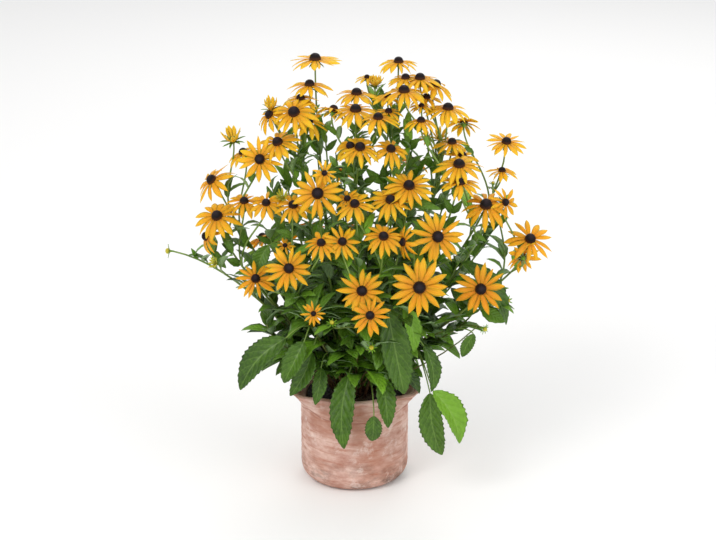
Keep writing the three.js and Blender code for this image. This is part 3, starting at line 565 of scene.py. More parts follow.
def arc(share, bend_start, bend_end, reach):
    """How far out and how high a petal's line is at a share of its length, when its slope bends evenly from
    one angle to another: the circle arc whose length is the reach."""
    bend = bend_start + (bend_end - bend_start) * share
    scale = reach / (bend_end - bend_start)
    return scale * (np.sin(bend) - np.sin(bend_start)), scale * (np.cos(bend) - np.cos(bend_start)), bend


def petal_bends(droop):
    """The slopes at which a petal leaves the cone and ends, in radians, never quite the same."""
    start = np.where(droop < 0, droop * 0.6, np.minimum(2.0, droop * 0.5))
    return np.radians(start), np.radians(np.where(np.abs(droop - 2) < 3, droop + 6, droop))


def seat_depth(radius, droop, petals, seeds):
    """How far under a bloom's middle its stem meets it: below the lowest valley between two frame petals."""
    order = np.arange(int(petals.max()))
    here = order[None] < petals[:, None]
    cone = (radius * CONE_SHARE)[:, None]
    stretch = 0.84 + 0.16 * draw(seeds[:, None], order[None] + 40)
    start, end = petal_bends(droop)
    full_at, parting_at = 0.62, 0.4
    reach = (radius[:, None] - cone * PETAL_FOOT) * stretch
    _, height, bend = arc(full_at, start[:, None], end[:, None], reach)
    middle = height + PETAL_THICKNESS * 0.8 * np.cos(bend)
    slope = parting_at / full_at
    parting_bend = (start + (end - start) * parting_at)[:, None]
    top = PETAL_THICKNESS * 0.5 * (1 - slope) + middle * slope
    valley = top - PETAL_THICKNESS * 0.8 * np.cos(parting_bend)
    lowest = np.where(here, valley, 0.0).min(axis=1)
    return np.minimum(lowest, -PETAL_THICKNESS) - 0.0004 - SEAT_GAP


def curve(controls, share):
    """Points of cubic Bezier curves at shares of their way, weighted by the four Bernstein terms."""
    share = np.asarray(share)[..., None]
    rest = 1 - share
    weights = (rest ** 3, 3 * rest ** 2 * share, 3 * rest * share ** 2, share ** 3)
    return sum(weight * place for weight, place in zip(weights, np.moveaxis(controls, -2, 0)))


def stem_controls(start, start_way, seat, axis, radius):
    """The four control points of a stem that leaves along one way and comes up under its head's axis."""
    span = np.linalg.norm(seat - start, axis=-1, keepdims=True)
    neck = seat - axis * CALYX_LENGTH
    rise = np.where(radius > LEAST_BLOOM, BLOOM_NECK_RISE, BUD_NECK_RISE)
    end_way = unit(axis + rise[:, None] * [0.0, 0.0, 1.0])
    leaving, coming = start + start_way * span * START_PULL, neck - end_way * span * END_PULL
    return np.stack([start, leaving, coming, neck], axis=-2)


def from_crown(top, seed):
    """Where a stem that ends at a place leaves the crown, on the side it leans to, and the way it leaves."""
    out = np.minimum(CROWN_RADIUS - 0.007, 0.18 * np.hypot(top[:, 0], top[:, 1]))
    bearing = np.arctan2(top[:, 1], top[:, 0]) + 0.3 * (draw(seed, 8) - 0.5)
    start = np.stack([out * np.cos(bearing), out * np.sin(bearing), np.full(len(top), STEM_FOOT)], axis=-1)
    return start, unit(top * [2.2, 2.2, 0.0] + [0.0, 0.0, 1.0])


def straight_place(controls, pieces, share):
    """The place at a share of the way along a curve that is cut into straight pieces, and the way it runs."""
    piece = np.minimum(pieces - 1, np.floor(share * pieces))
    before, after = curve(controls, piece / pieces), curve(controls, (piece + 1) / pieces)
    return before + (after - before) * (share * pieces - piece)[..., None], unit(after - before)


def swept(line, level, third, section, poles):
    """Points of closed tubes, one for each line: every ring's section is laid out along two square directions
    at its point of the line, and the poles follow the rings."""
    first, second = level[..., None, :] * section[..., 0:1], third[..., None, :] * section[..., 1:2]
    rings = line[..., None, :] + first + second
    return np.concatenate([rings.reshape(len(line), -1, 3), poles], axis=1)


def line_frames(line, up):
    """For each point of each line, a direction square to the line and to `up`, and the one square to both."""
    along = np.empty_like(line)
    along[:, 1:-1] = line[:, 2:] - line[:, :-2]
    along[:, 0], along[:, -1] = line[:, 1] - line[:, 0], line[:, -1] - line[:, -2]
    along = unit(along)
    level = unit(np.cross(up, along))
    return level, np.cross(along, level)


def circle(sides):
    """Points evenly spaced round a circle with a radius of 1."""
    around = round_steps(sides)
    return np.stack([np.cos(around), np.sin(around)], axis=-1)


def round_tubes(line, radius, sides):
    """Points of round tubes along lines, with the radius at each of a line's points."""
    level, third = line_frames(line, np.array([0.31, 0.95, 0.05]))
    return swept(line, level, third, radius[..., None, None] * circle(sides), line[:, [0, -1]])


def add_copies(name, points, rings, sides, material, slot, corners=None, tone=None):
    """A piece of many closed tubes of one kind, with a row of points for each. Corners are the pattern
    coordinates of one tube's quads and of its ends, and tone has a row for each tube, or is one number."""
    copies, each = points.shape[:2]
    faces = tube_faces(rings, sides)
    if corners is not None:
        corners = np.concatenate([
            np.broadcast_to(part, (copies, kind.size, 2)).reshape(-1, 2) for part, kind in zip(corners, faces)
        ])
    if tone is not None:
        tone = np.broadcast_to(tone, (copies, each))
    first = each * np.arange(copies)[:, None, None]
    quads, ends = ((kind + first).reshape(-1, kind.shape[1]) for kind in faces)
    return add_piece(name, points.reshape(-1, 3), quads, ends, material, slot, corners, tone)


count = len(HEADS)
head_radius, _, head_tilt, head_droop, head_petals, _ = HEADS[:, 3:].T
radius = np.concatenate([head_radius, BUDS[:, 3]])
centre = seen(*np.concatenate([HEADS[:, :3], BUDS[:, :3]]).T)
axis = facing(*np.concatenate([HEADS[:, 4:6], BUDS[:, 4:6]]).T)
centre[:count] -= axis[:count] * (CONE_MIDDLE * radius[:count])[:, None]
leads = np.concatenate([HEADS[:, 8], BUDS[:, 6]]) == 1
seeds = np.concatenate([np.arange(count) + 1, np.arange(len(BUDS)) + 101])
frame_droop = np.concatenate([head_droop, np.full(len(BUDS), 24.0)])
frame_petals = np.concatenate([np.round(head_petals * PETALS_KEPT), np.full(len(BUDS), 5)])
seat = centre + axis * seat_depth(radius, frame_droop, frame_petals, seeds)[:, None]
seat[count:] += axis[count:] * SEAT_GAP * 3

leaders = np.flatnonzero(leads)
sides_of = np.flatnonzero(~leads)
leader_controls = stem_controls(
    *from_crown(centre[leaders], seeds[leaders]), seat[leaders], axis[leaders], radius[leaders],
)


def leader_spots(shares):
    """Places at shares of the way up each leading stem, as the frame cuts it into straight pieces."""
    shape = (len(leaders), len(shares))
    every = np.broadcast_to(leader_controls[:, None], (*shape, 4, 3))
    return straight_place(every, LEADING_PIECES, np.broadcast_to(shares, shape))[0]


# A side stem forks where its leading stem passes close beside it and about 9 cm beneath its bloom.
FORK_DROP = 0.09
fork_shares = 0.3 + 0.05 * np.arange(12)
fork_spots = leader_spots(fork_shares)
offset = seat[sides_of][:, None, None] - fork_spots[None]
aside = np.hypot(offset[..., 0], offset[..., 1])
cost = 1600 * aside + 600 * np.abs(offset[..., 2] - FORK_DROP) + 500 * (offset[..., 2] < 0.025)
best = cost.reshape(len(sides_of), -1).argmin(axis=1)
fork_leader, fork_share = best // len(fork_shares), fork_shares[best % len(fork_shares)]
_, fork_way = straight_place(leader_controls[fork_leader], LEADING_PIECES, fork_share)
straight_fork = fork_spots[fork_leader, best % len(fork_shares)]
side_way = unit(fork_way + unit(seat[sides_of] - straight_fork))
fork = curve(leader_controls[fork_leader], fork_share)
side_controls = stem_controls(fork, side_way, seat[sides_of], axis[sides_of], radius[sides_of])

shoot_top = seen(*SHOOTS.T)
shoot_controls = stem_controls(
    *from_crown(shoot_top, np.arange(len(SHOOTS)) + 601.0), shoot_top,
    unit(shoot_top * [2.0, 2.0, 0.0] + [0.0, 0.0, 1.0]), np.zeros(len(SHOOTS)),
)

controls = np.concatenate([leader_controls, side_controls, shoot_controls])
stem_heads = np.concatenate([leaders, sides_of])
root = np.full(len(controls), SIDE_STEM_RADIUS + 0.0002)
root[:len(leaders)] = STEM_RADIUS + 0.0005
shares = np.linspace(0.0, 1.0, STEM_RINGS)
stem_line = curve(controls[:, None], np.broadcast_to(shares, (len(controls), STEM_RINGS)))
thickness = root[:, None] + (SIDE_STEM_RADIUS - root[:, None]) * shares

# Young plant stem, waxy and finely ribbed: soft gloss, green turning to dull red-brown near the ground.
stem_skin, add, place = start_material("young_stem_skin")
STEM_FLECK = 0.02
up = add("SeparateXYZ", {0: place}, 2)
age_share = add("MapRange", {0: up, 1: 0.13, 2: 0.30})
flecks = add("TexNoise", {"Vector": place, "Scale": 1 / STEM_FLECK, "Detail": 4.0})
flecked = add("Mix", {0: flecks, 6: paint("#52682A"), 7: paint("#8AA845")}, 2, data_type="RGBA")
young = add("Attribute", {}, "Fac", attribute_name="tone")
green_share = add("Math", {0: age_share, 1: young}, operation="MAXIMUM")
stem_colour = add("Mix", {0: green_share, 6: paint("#5A3A26"), 7: flecked}, 2, data_type="RGBA")
finish_material(stem_skin, {"Base Color": stem_colour, "Roughness": 0.5})
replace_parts(add_copies(
    "stems", round_tubes(stem_line, thickness, STEM_SIDES), STEM_RINGS, STEM_SIDES, stem_skin, "foliage",
), "leafy_stems")


# The crown: a low woody mound of old stem bases, seated in the hole of the soil, that all the leading stems
# rise from. It is dry bark, knobbed where earlier stems broke off.

CROWN_SIDES = 96
CROWN_FOOT = SOIL_HEIGHT - CROWN_DEPTH + SEAT_GAP
CROWN_TOP = SOIL_HEIGHT + 0.007
BARK_KNOB = 0.0025
BARK_FIBRE = 0.003
bearing = round_steps(CROWN_SIDES)
rings = [turned(bearing, CROWN_RADIUS, height) for height in (CROWN_FOOT, STEM_FOOT)]
for share in np.linspace(0.05, 0.95, 16):
    mound = turned(bearing, CROWN_RADIUS * (1 - share), SOIL_HEIGHT + 0.0065 * math.sin(share * math.pi / 2))
    mound[:, 2] += 0.0012 * crumbled(mound, BARK_KNOB)
    rings.append(mound)

# Old stem bases: dry brown bark with fibres, matt and dark between the stems.
old_bark, add, place = start_material("old_stem_bases")
fibre = add("TexNoise", {"Vector": place, "Scale": 1 / BARK_FIBRE, "Detail": 6.0})
barked = add("Mix", {0: fibre, 6: paint("#20180F"), 7: paint("#4B3A22")}, 2, data_type="RGBA")
finish_material(old_bark, {"Base Color": barked, "Roughness": 0.9})
add_piece("crown", *closed_rings(rings, CROWN_FOOT, CROWN_TOP), old_bark, "foliage")


# The leaves: dark green, rough-haired blades with a few blunt teeth, a pale midrib and side veins. The
# largest hang low over the rim on long stalks, and smaller stalkless ones climb the stems.

BLADE_THICKNESS = 0.0006
GOLDEN_ANGLE = 137.5
SPACE_OVER_SOIL = 0.038
SPACE_ROUND_BLOOM = 0.005
SPACE_OVER_BLOOM = 0.012
LONG_SIDE_STEM = 0.110
LARGE_RINGS = 56
SMALL_RINGS = 6

# Large leaves as the eye reads them: the blade's base across, down and near, the same for its tip, its width,
# the way its face turns and how far up, and how far its middle rises. Their tones are how light each is.
LARGE_LEAVES = np.array([
    [286, 338, 0.096, 240, 390, 0.106, 0.038, -20, 30, 0.008],
    [304, 342, 0.098, 284, 383, 0.108, 0.03, -15, 30, 0.006],
    [312, 352, 0.084, 290, 396, 0.104, 0.026, 0, 30, 0.006],
    [321, 368, 0.072, 315, 405, 0.096, 0.021, 10, 25, 0.005],
    [349, 375, 0.066, 344, 449, 0.098, 0.035, 0, 30, 0.009],
    [382, 376, 0.066, 388, 428, 0.094, 0.027, 10, 30, 0.008],
    [374, 416, 0.094, 372, 441, 0.094, 0.024, 0, 10, 0.003],
    [430, 393, 0.093, 442, 455, 0.093, 0.035, -10, 20, 0.006],
    [433, 391, 0.097, 459.5, 443.5, 0.102, 0.037, 30, 30, 0.006],
    [388, 312, 0.11, 404, 394, 0.11, 0.042, 5, 35, 0.009],
    [404, 306, 0.104, 414, 352, 0.112, 0.024, 20, 40, 0.005],
    [424, 346, 0.092, 431, 392, 0.096, 0.022, 25, 35, 0.008],
    [474, 334, 0.082, 462, 357, 0.084, 0.017, 10, 30, 0.003],
    [462, 262, 0.06, 506, 325, 0.078, 0.03, 30, 40, 0.022],
    [268, 246, 0.062, 258, 274, 0.07, 0.022, 0, 30, 0.004],
    [398, 371, 0.06, 419.5, 393.5, 0.057, 0.024, 10, 60, 0.004],
])
LARGE_TONES = np.array([
    0.02, 0.08, 0.02, 0.04, 0.06, 0.10, 0.02, 0.12, 0.62, 0.06, 0.60, 0.04, 0.10, 0.08, 0.14, -0.04,
])


def blade_half_width(share, width):
    """Half a leaf's width along its length: the sine of pi times share ^ 0.8, to the power 0.75."""
    return 0.5 * width * np.maximum(np.sin(math.pi * np.clip(share, 0, 1) ** 0.8), 0.0) ** 0.75


def blade_shares(rings):
    """Shares of a leaf's length where its rings lie, closer together near both ends."""
    return 0.5 - 0.5 * np.cos(np.linspace(0.06, 0.975, rings) * math.pi)


def blades(base, tip, width, face, arch, seed, rings, columns, teeth):
    """Points of leaf blades. The middle line runs from base to tip, raised by arch times 4 s (1 - s);
    across it the blade folds up by 0.2 to 0.65 of its half width, ripples along its edges and steps in
    behind each tooth."""
    share = blade_shares(rings)
    along = tip - base
    length = np.linalg.norm(along, axis=-1)
    along = unit(along)
    aside = unit(np.cross(face, along))
    normal = np.cross(along, aside)
    sway = (draw(seed, 21) - 0.5)[:, None] * 0.16 * length[:, None] * np.sin(math.pi * share)
    line = (
        base[:, None] + along[:, None] * (share[:, None] * length[:, None, None])
        + normal[:, None] * (arch[:, None] * 4 * share * (1 - share))[..., None]
        + aside[:, None] * sway[..., None]
    )
    slope = (arch / length)[:, None] * 4 * (1 - 2 * share)
    tilted = unit(normal[:, None] - along[:, None] * slope[..., None])
    half = blade_half_width(share, width[:, None])
    step = (share * teeth[:, None]) % 1.0
    half = half * np.where(teeth[:, None] > 0, 0.88 + 0.16 * step ** 1.3, 1.0)
    turn = np.linspace(0.0, 1.0, columns)
    spread = 1 - 2 * turn
    ripple = 0.07 * np.sin(share[:, None] * 17 + seed[:, None, None] + spread * 1.5) * np.abs(spread)
    folding = 0.30 + 0.20 * (draw(seed, 22) - 0.5) + np.where(teeth > 8, 0.25, 0.0)
    fold = folding[:, None, None] * np.abs(spread) ** 1.3 + ripple
    lift = half[..., None] * fold
    across = half[..., None] * spread
    body = BLADE_THICKNESS / 2 * (1 - spread ** 2)
    top = np.stack([across, lift + body], axis=-1)
    under = np.stack([across, lift - body], axis=-1)[:, :, -2:0:-1]
    section = np.concatenate([top, under], axis=2)
    level = np.broadcast_to(aside[:, None], line.shape)
    poles = np.stack([base, tip], axis=1)
    return swept(line, level, tilted, section, poles)


def tube_corners(along, around):
    """Pattern coordinates for the face corners of a closed tube's quads, then of its ends: the first number
    is given for each ring, and is 0 and 1 at the poles, and the second for each side and the seam."""
    ring, side = np.meshgrid(np.arange(len(along) - 1), np.arange(len(around) - 1), indexing="ij")
    corners = [(ring, side), (ring, side + 1), (ring + 1, side + 1), (ring + 1, side)]
    quads = np.stack([np.stack([along[r], around[s]], axis=-1) for r, s in corners], axis=2)
    before, after = around[:-1], around[1:]
    middle = (before + after) / 2
    ends = [
        [(0.0, middle), (along[0], after), (along[0], before)],
        [(1.0, middle), (along[-1], before), (along[-1], after)],
    ]
    ends = np.array([[np.stack(np.broadcast_arrays(*pair), axis=-1) for pair in end] for end in ends])
    return quads.reshape(-1, 2), ends.swapaxes(1, 2).reshape(-1, 2)


# Coneflower leaf: a rough, faintly glossy skin. Light veins branch off the midrib towards the tip, the skin
# swells between them, and the underside is paler and duller.
leaf_skin, add, place = start_material("coneflower_leaf")
VEIN_PAIRS = 7.0
LEAF_BLOTCH = 0.025
LEAF_PIT = 0.004
growth = add("UVMap", {}, uv_map="growth")
tone = add("Attribute", {}, "Fac", attribute_name="tone")
along, across = (add("SeparateXYZ", {0: growth}, number) for number in (0, 1))
beneath = add("Math", {0: across, 1: 1.0}, operation="GREATER_THAN")
turned_over = add("Math", {0: across, 1: 1.0}, operation="FRACT")
from_rib = add("Math", {0: add("Math", {0: turned_over, 1: 0.5}, operation="SUBTRACT")}, operation="ABSOLUTE")
rib = add("MapRange", {0: from_rib, 1: 0.035, 2: 0.008})
swung = add("Math", {0: from_rib, 1: -0.55, 2: along}, operation="MULTIPLY_ADD")
wave_turn = add("Math", {0: swung, 1: VEIN_PAIRS * 2 * math.pi}, operation="MULTIPLY")
vein_wave = add("Math", {0: wave_turn}, operation="COSINE")
vein = add("MapRange", {0: vein_wave, 1: 0.86, 2: 1.0})
lines = add("Math", {0: vein, 1: 0.5, 2: rib}, operation="MULTIPLY_ADD", use_clamp=True)
blotch = add("TexNoise", {"Vector": place, "Scale": 1 / LEAF_BLOTCH, "Detail": 4.0})
blotched = add("Math", {0: blotch, 1: 0.35, 2: tone}, operation="MULTIPLY_ADD")
pitted = add("TexNoise", {"Vector": place, "Scale": 1 / LEAF_PIT, "Detail": 5.0})
mottled = add("Math", {0: pitted, 1: 0.45, 2: blotched}, operation="MULTIPLY_ADD")
tone_share = add("MapRange", {0: mottled, 1: 0.28, 2: 1.45})
line_share = add("Math", {0: lines, 1: 0.26}, operation="MULTIPLY")
under_share = add("Math", {0: beneath, 1: 0.75}, operation="MULTIPLY")
colour = paint("#26420F")
for share, layer in ((tone_share, "#86BC2E"), (line_share, "#93B25A"), (under_share, "#8FAA7A")):
    colour = add("Mix", {0: share, 6: colour, 7: paint(layer)}, 2, data_type="RGBA")
swell = add("Math", {0: vein_wave, 1: -0.5, 2: pitted}, operation="MULTIPLY_ADD")
finish_material(leaf_skin, {
    "Base Color": colour, "Roughness": 0.42, "Specular IOR Level": 0.34,
    "Normal": add("Bump", {"Strength": 0.42, "Distance": 0.0012, "Height": swell}),
})


def add_leaves(name, base, tip, width, face, arch, seed, tone, rings, columns, teeth=0):
    """A piece of leaf blades. Their pattern runs from foot to tip, and from 0 to 1 on top, 1 to 2 beneath."""
    add_copies(
        name, blades(base, tip, width, face, arch, seed, rings, columns, np.full(len(base), teeth)),
        rings, 2 * columns - 2, leaf_skin, "foliage",
        tube_corners(blade_shares(rings), np.linspace(0.0, 2.0, 2 * columns - 1)), tone[:, None],
    )


large_base, large_tip = seen(*LARGE_LEAVES[:, :3].T), seen(*LARGE_LEAVES[:, 3:6].T)
large_width = LARGE_LEAVES[:, 6]
add_leaves(
    "large_leaves", large_base, large_tip, large_width, facing(*LARGE_LEAVES[:, 7:9].T), LARGE_LEAVES[:, 9],
    np.arange(len(large_base)) + 201.0, LARGE_TONES, LARGE_RINGS, 11, np.where(large_width > 0.032, 13, 10),
)
stalk_shares = 0.06 + 0.04 * np.arange(12)
apart = np.linalg.norm(large_base[:, None, None] - leader_spots(stalk_shares)[None], axis=-1)
nearest = apart.reshape(len(large_base), -1).argmin(axis=1)
stalk_fork = curve(leader_controls[nearest // len(stalk_shares)], stalk_shares[nearest % len(stalk_shares)])


# Leaves that show plainly among the stems: the place in the picture of each one's foot and of its tip, its
# width, how far the tip comes towards the eye, and its lightness. Each sits on the stem seen nearest its
# foot.
SHOWN_LEAVES = np.array([
    [336.3, 151.6, 349.8, 137.3, 0.0085, 0.004, 0.2], [314.7, 156.4, 302, 139.7, 0.012, 0.006, 0.18],
    [311.5, 154.8, 298.8, 167.6, 0.011, 0.008, 0.25], [330.7, 161.2, 344.7, 175.9, 0.013, 0.008, 0.15],
    [291.6, 193.9, 285.2, 168.4, 0.012, 0.004, 0.35], [303.5, 184.3, 302, 166, 0.008, 0.002, 0.25],
    [270, 242.5, 254.9, 235.4, 0.009, 0.006, 0.15], [252.5, 245.7, 236, 240, 0.008, 0.005, 0.2],
    [226, 233.8, 235, 255.3, 0.013, 0.01, 0.22], [222, 252, 230, 269, 0.012, 0.01, 0.3],
    [196.7, 256, 190.3, 246.5, 0.007, 0.002, 0.35], [327.5, 236, 337, 220, 0.013, 0.004, 0.2],
    [402.6, 142, 399.4, 129.3, 0.009, 0.002, 0.3], [420, 166, 422.6, 151.6, 0.012, 0.002, 0.45],
    [409, 199.5, 442, 208.5, 0.013, 0.012, 0.22], [420, 228, 410, 218.6, 0.008, 0.004, 0.55],
    [460, 233, 482.4, 235.4, 0.009, 0.008, 0.25], [476, 237.8, 486.4, 244, 0.008, 0.006, 0.3],
    [469.6, 244, 477.6, 257, 0.013, 0.01, 0.5], [455, 262, 443, 292, 0.018, 0.012, 0.18],
    [300, 222, 288, 214, 0.009, 0.004, 0.25], [352, 222, 362, 236, 0.012, 0.008, 0.2],
    [378, 262, 392, 272, 0.013, 0.01, 0.25], [330, 262, 316, 276, 0.014, 0.01, 0.2],
    [300, 292, 286, 306, 0.016, 0.012, 0.3], [404, 262, 420, 252, 0.012, 0.006, 0.45],
    [346, 300, 332, 292, 0.014, 0.008, 0.6], [440, 316, 458, 308, 0.013, 0.008, 0.35],
    [296, 232, 282, 222, 0.011, 0.004, 0.1], [292, 240, 276, 232, 0.012, 0.005, 0.18],
    [304, 238, 292, 226, 0.01, 0.003, 0.05], [312, 240, 306, 222, 0.011, 0.004, 0.15],
    [284, 250, 270, 244, 0.012, 0.004, 0.12], [300, 248, 288, 252, 0.011, 0.006, 0.3],
    [318, 236, 324, 222, 0.01, 0.003, 0.1], [326, 246, 334, 232, 0.011, 0.004, 0.25],
    [288, 228, 274, 216, 0.01, 0.003, 0.2], [306, 230, 316, 218, 0.009, 0.003, 0.35],
    [416, 222, 404, 214, 0.01, 0.003, 0.2], [446, 200, 452, 184, 0.009, 0.002, 0.3],
    [440, 206, 428, 196, 0.01, 0.003, 0.15], [450, 212, 462, 200, 0.01, 0.003, 0.1],
    [404, 226, 394, 216, 0.01, 0.003, 0.3], [372, 222, 362, 212, 0.011, 0.003, 0.1],
    [376, 212, 384, 222, 0.01, 0.004, 0.2], [352, 178, 344, 164, 0.01, 0.003, 0.25],
    [360, 176, 370, 166, 0.01, 0.003, 0.15], [372, 176, 380, 162, 0.009, 0.002, 0.3],
    [398, 176, 408, 164, 0.01, 0.003, 0.2], [430, 170, 438, 158, 0.01, 0.003, 0.25],
    [436, 178, 446, 170, 0.01, 0.003, 0.1], [310, 172, 300, 160, 0.01, 0.003, 0.2],
    [352, 130, 346, 118, 0.008, 0.002, 0.3], [384, 140, 376, 130, 0.008, 0.002, 0.2],
    [366, 180, 356, 168, 0.011, 0.003, 0.15], [370, 186, 382, 176, 0.011, 0.004, 0.3],
    [368, 196, 360, 184, 0.01, 0.003, 0.1], [374, 204, 366, 194, 0.01, 0.003, 0.25],
    [368, 212, 378, 204, 0.01, 0.003, 0.15], [386, 172, 394, 160, 0.01, 0.003, 0.2],
    [278, 194, 268, 182, 0.009, 0.002, 0.25], [288, 196, 280, 182, 0.009, 0.002, 0.15],
    [296, 188, 290, 176, 0.009, 0.002, 0.3], [428, 212, 436, 202, 0.01, 0.003, 0.2],
    [444, 214, 452, 202, 0.01, 0.003, 0.35], [456, 216, 448, 206, 0.009, 0.003, 0.15],
    [406, 156, 400, 142, 0.01, 0.003, 0.25], [412, 150, 420, 140, 0.01, 0.003, 0.15],
    [404, 138, 410, 126, 0.009, 0.003, 0.3], [416, 132, 408, 122, 0.008, 0.002, 0.2],
    [328, 140, 320, 128, 0.008, 0.002, 0.25], [332, 148, 340, 138, 0.009, 0.002, 0.15],
    [286, 322, 268, 330, 0.017, 0.01, 0.25], [290, 312, 272, 316, 0.015, 0.01, 0.15],
    [462, 318, 480, 312, 0.015, 0.006, 0.3], [456, 330, 474, 324, 0.014, 0.006, 0.2],
    [374, 180, 361, 167, 0.013, 0.004, 0.45], [372, 176, 378, 161, 0.01, 0.004, 0.25],
    [366, 190, 356, 180, 0.011, 0.004, 0.2], [380, 196, 386, 181, 0.01, 0.004, 0.3],
    [376, 186, 386, 172, 0.01, 0.004, 0.2], [400, 147, 400, 128, 0.012, 0.002, 0.2],
    [418, 172, 409, 156, 0.01, 0.004, 0.55], [420, 170, 429, 153, 0.01, 0.004, 0.5],
    [424, 172, 438, 162, 0.01, 0.004, 0.55], [414, 176, 402, 168, 0.01, 0.004, 0.4],
    [377, 146, 377, 133, 0.01, 0.002, 0.15], [452, 206, 444, 194, 0.01, 0.004, 0.25],
    [446, 222, 436, 210, 0.011, 0.004, 0.3], [455, 232, 462, 218, 0.01, 0.004, 0.2],
    [300, 158, 308, 146, 0.01, 0.004, 0.2], [262, 186, 262, 170, 0.011, 0.004, 0.25],
    [250, 212, 244, 198, 0.01, 0.004, 0.25], [470, 172, 478, 160, 0.01, 0.004, 0.25],
    [496, 222, 504, 210, 0.01, 0.004, 0.3], [481, 313, 505, 324, 0.021, 0.01, 0.42],
    [476, 300, 494, 318, 0.018, 0.006, 0.2], [232, 258, 221, 246, 0.012, 0.006, 0.15],
    [236, 270, 224, 262, 0.012, 0.006, 0.2], [300, 168, 294, 156, 0.01, 0.004, 0.25],
    [418, 148, 426, 138, 0.009, 0.004, 0.25], [404, 152, 396, 142, 0.009, 0.004, 0.25],
    [470, 160, 462, 150, 0.009, 0.004, 0.25], [444, 240, 452, 226, 0.011, 0.004, 0.2],
])
SHOWN_RINGS = 14


def picture_place(points):
    """Where points are seen in the picture: the sight line run backwards."""
    offset = points - EYE_PLACE
    ahead = offset @ np.array([0.0, math.cos(EYE_PITCH), -math.sin(EYE_PITCH)])
    upward = offset @ np.array([0.0, math.sin(EYE_PITCH), math.cos(EYE_PITCH)])
    aside = np.stack([offset[..., 0], -upward], axis=-1)
    return np.array(PICTURE_MIDDLE) + PICTURE_SCALE * aside / ahead[..., None]


stem_points = stem_line[:, 2:-1].reshape(-1, 3)
apart = np.linalg.norm(picture_place(stem_points)[None] - SHOWN_LEAVES[:, None, :2], axis=-1)
foot = stem_points[apart.argmin(axis=1)]
tip_place = SHOWN_LEAVES[:, 2:4] + 0.5 * (picture_place(foot) - SHOWN_LEAVES[:, :2])
shown_tip = seen(tip_place[:, 0], tip_place[:, 1], -foot[:, 1] + SHOWN_LEAVES[:, 5])
seed = np.arange(len(SHOWN_LEAVES)) + 401.0
shown_face = facing(50 * (draw(seed, 1) - 0.5), 25 + 25 * draw(seed, 2))
shown_arch = np.linalg.norm(shown_tip - foot, axis=-1) * 0.1
add_leaves(
    "shown_leaves", foot, shown_tip, SHOWN_LEAVES[:, 4], shown_face, shown_arch, seed, SHOWN_LEAVES[:, 6],
    SHOWN_RINGS, 7, 4,
)


def is_clear(base, tip):
    """Whether each leaf's middle line passes clear of the pot and of the flat space round each bloom."""
    share = np.array([0.25, 0.5, 0.75, 1.0])
    spot = base[:, None] + (tip - base)[:, None] * share[:, None]
    past_crown = np.hypot(spot[..., 0], spot[..., 1]) > CROWN_RADIUS
    in_pot = (spot[..., 2] < SOIL_HEIGHT + SPACE_OVER_SOIL) & past_crown
    offset = spot[:, :, None] - centre[:count]
    height = (offset * axis[:count]).sum(axis=-1)
    out = np.linalg.norm(offset - height[..., None] * axis[:count], axis=-1)
    level_with = (height <= SPACE_OVER_BLOOM) & (height >= -0.55 * radius[:count])
    hits = (out <= radius[:count] + SPACE_ROUND_BLOOM) & level_with
    return ~(in_pot | hits.any(axis=-1)).any(axis=-1)


def clear_leaves(base, length, wide, arched, seed, turns, rises):
    """Base, tip, width, arch and seed of the leaves that have a clear attempt, at their first one, and which
    leaves those are. Width and arch are shares of the length, and turns and rises have a column for each
    attempt."""
    tips = base[:, None] + facing(turns, rises) * length[:, None, None]
    attempts = turns.shape[1]
    clear = is_clear(np.repeat(base, attempts, axis=0), tips.reshape(-1, 3)).reshape(-1, attempts)
    tip, kept = tips[np.arange(len(base)), clear.argmax(axis=1)], clear.any(axis=1)
    return [part[kept] for part in (base, tip, length * wide, length * arched, seed)], kept


# The frame's own stem leaves: two on each leading stem and one on each long side stem.
number = np.arange(len(stem_heads))
on_leader = number < len(leaders)
long_side = ~on_leader & (np.linalg.norm(seat[stem_heads] - controls[number, 0], axis=-1) > LONG_SIDE_STEM)
stem_number = np.concatenate([np.repeat(number[on_leader], 2), number[long_side]])
order = np.concatenate([np.tile([0, 1], on_leader.sum()), np.zeros(long_side.sum(), dtype=int)])
share = np.where(stem_number < len(leaders), np.where(order == 0, 0.28, 0.52), 0.3)
base = curve(controls[stem_number], share)
seed = stem_number * 7.0 + order + 1
low = np.clip(1 - (base[:, 2] - SOIL_HEIGHT) / 0.420, 0.15, 1)
length = 0.024 + 0.052 * low * (0.8 + 0.4 * draw(seed, 3))
attempt = np.arange(6)
turns = GOLDEN_ANGLE * (order[:, None] + attempt * 3 + stem_number[:, None])
rises = 10 + 35 * draw(seed[:, None], attempt)
stem_leaf, _ = clear_leaves(base, length, 0.3 + 0.1 * low, 0.12, seed, turns, rises)

# Fuller foliage between them: leaves climb every stem, one golden angle after another, longer low down, and
# spread more level than the frame's. They thin out upward, more so in front than behind, and outward.
shoot_number = np.arange(len(stem_heads), len(controls))
on_stems = np.meshgrid(number, np.linspace(0.07, 0.88, 30), indexing="ij")
on_shoots = np.meshgrid(shoot_number, np.linspace(0.45, 1.0, 14), indexing="ij")
fill_number, fill_share = (np.append(stems, shoots) for stems, shoots in zip(on_stems, on_shoots))
on_shoot = fill_number >= len(stem_heads)
wanted = (fill_number < len(leaders)) | on_shoot | (draw(fill_number * 31.0, fill_share * 100) < 0.45)
fill_number, fill_share, on_shoot = fill_number[wanted], fill_share[wanted], on_shoot[wanted]
base = curve(controls[fill_number], fill_share)
seed = fill_number * 17.0 + np.round(fill_share * 50) + 301
height = base[:, 2] - SOIL_HEIGHT
front_share = 0.67 * np.clip(1.6 - height / 0.27, 0.34, 1.0)
behind_share = np.clip(2.0 - height / 0.24, 0.65, 1.0)
inward_share = np.clip(1.6 - np.abs(base[:, 0]) / 0.09, 0.18, 1.0)
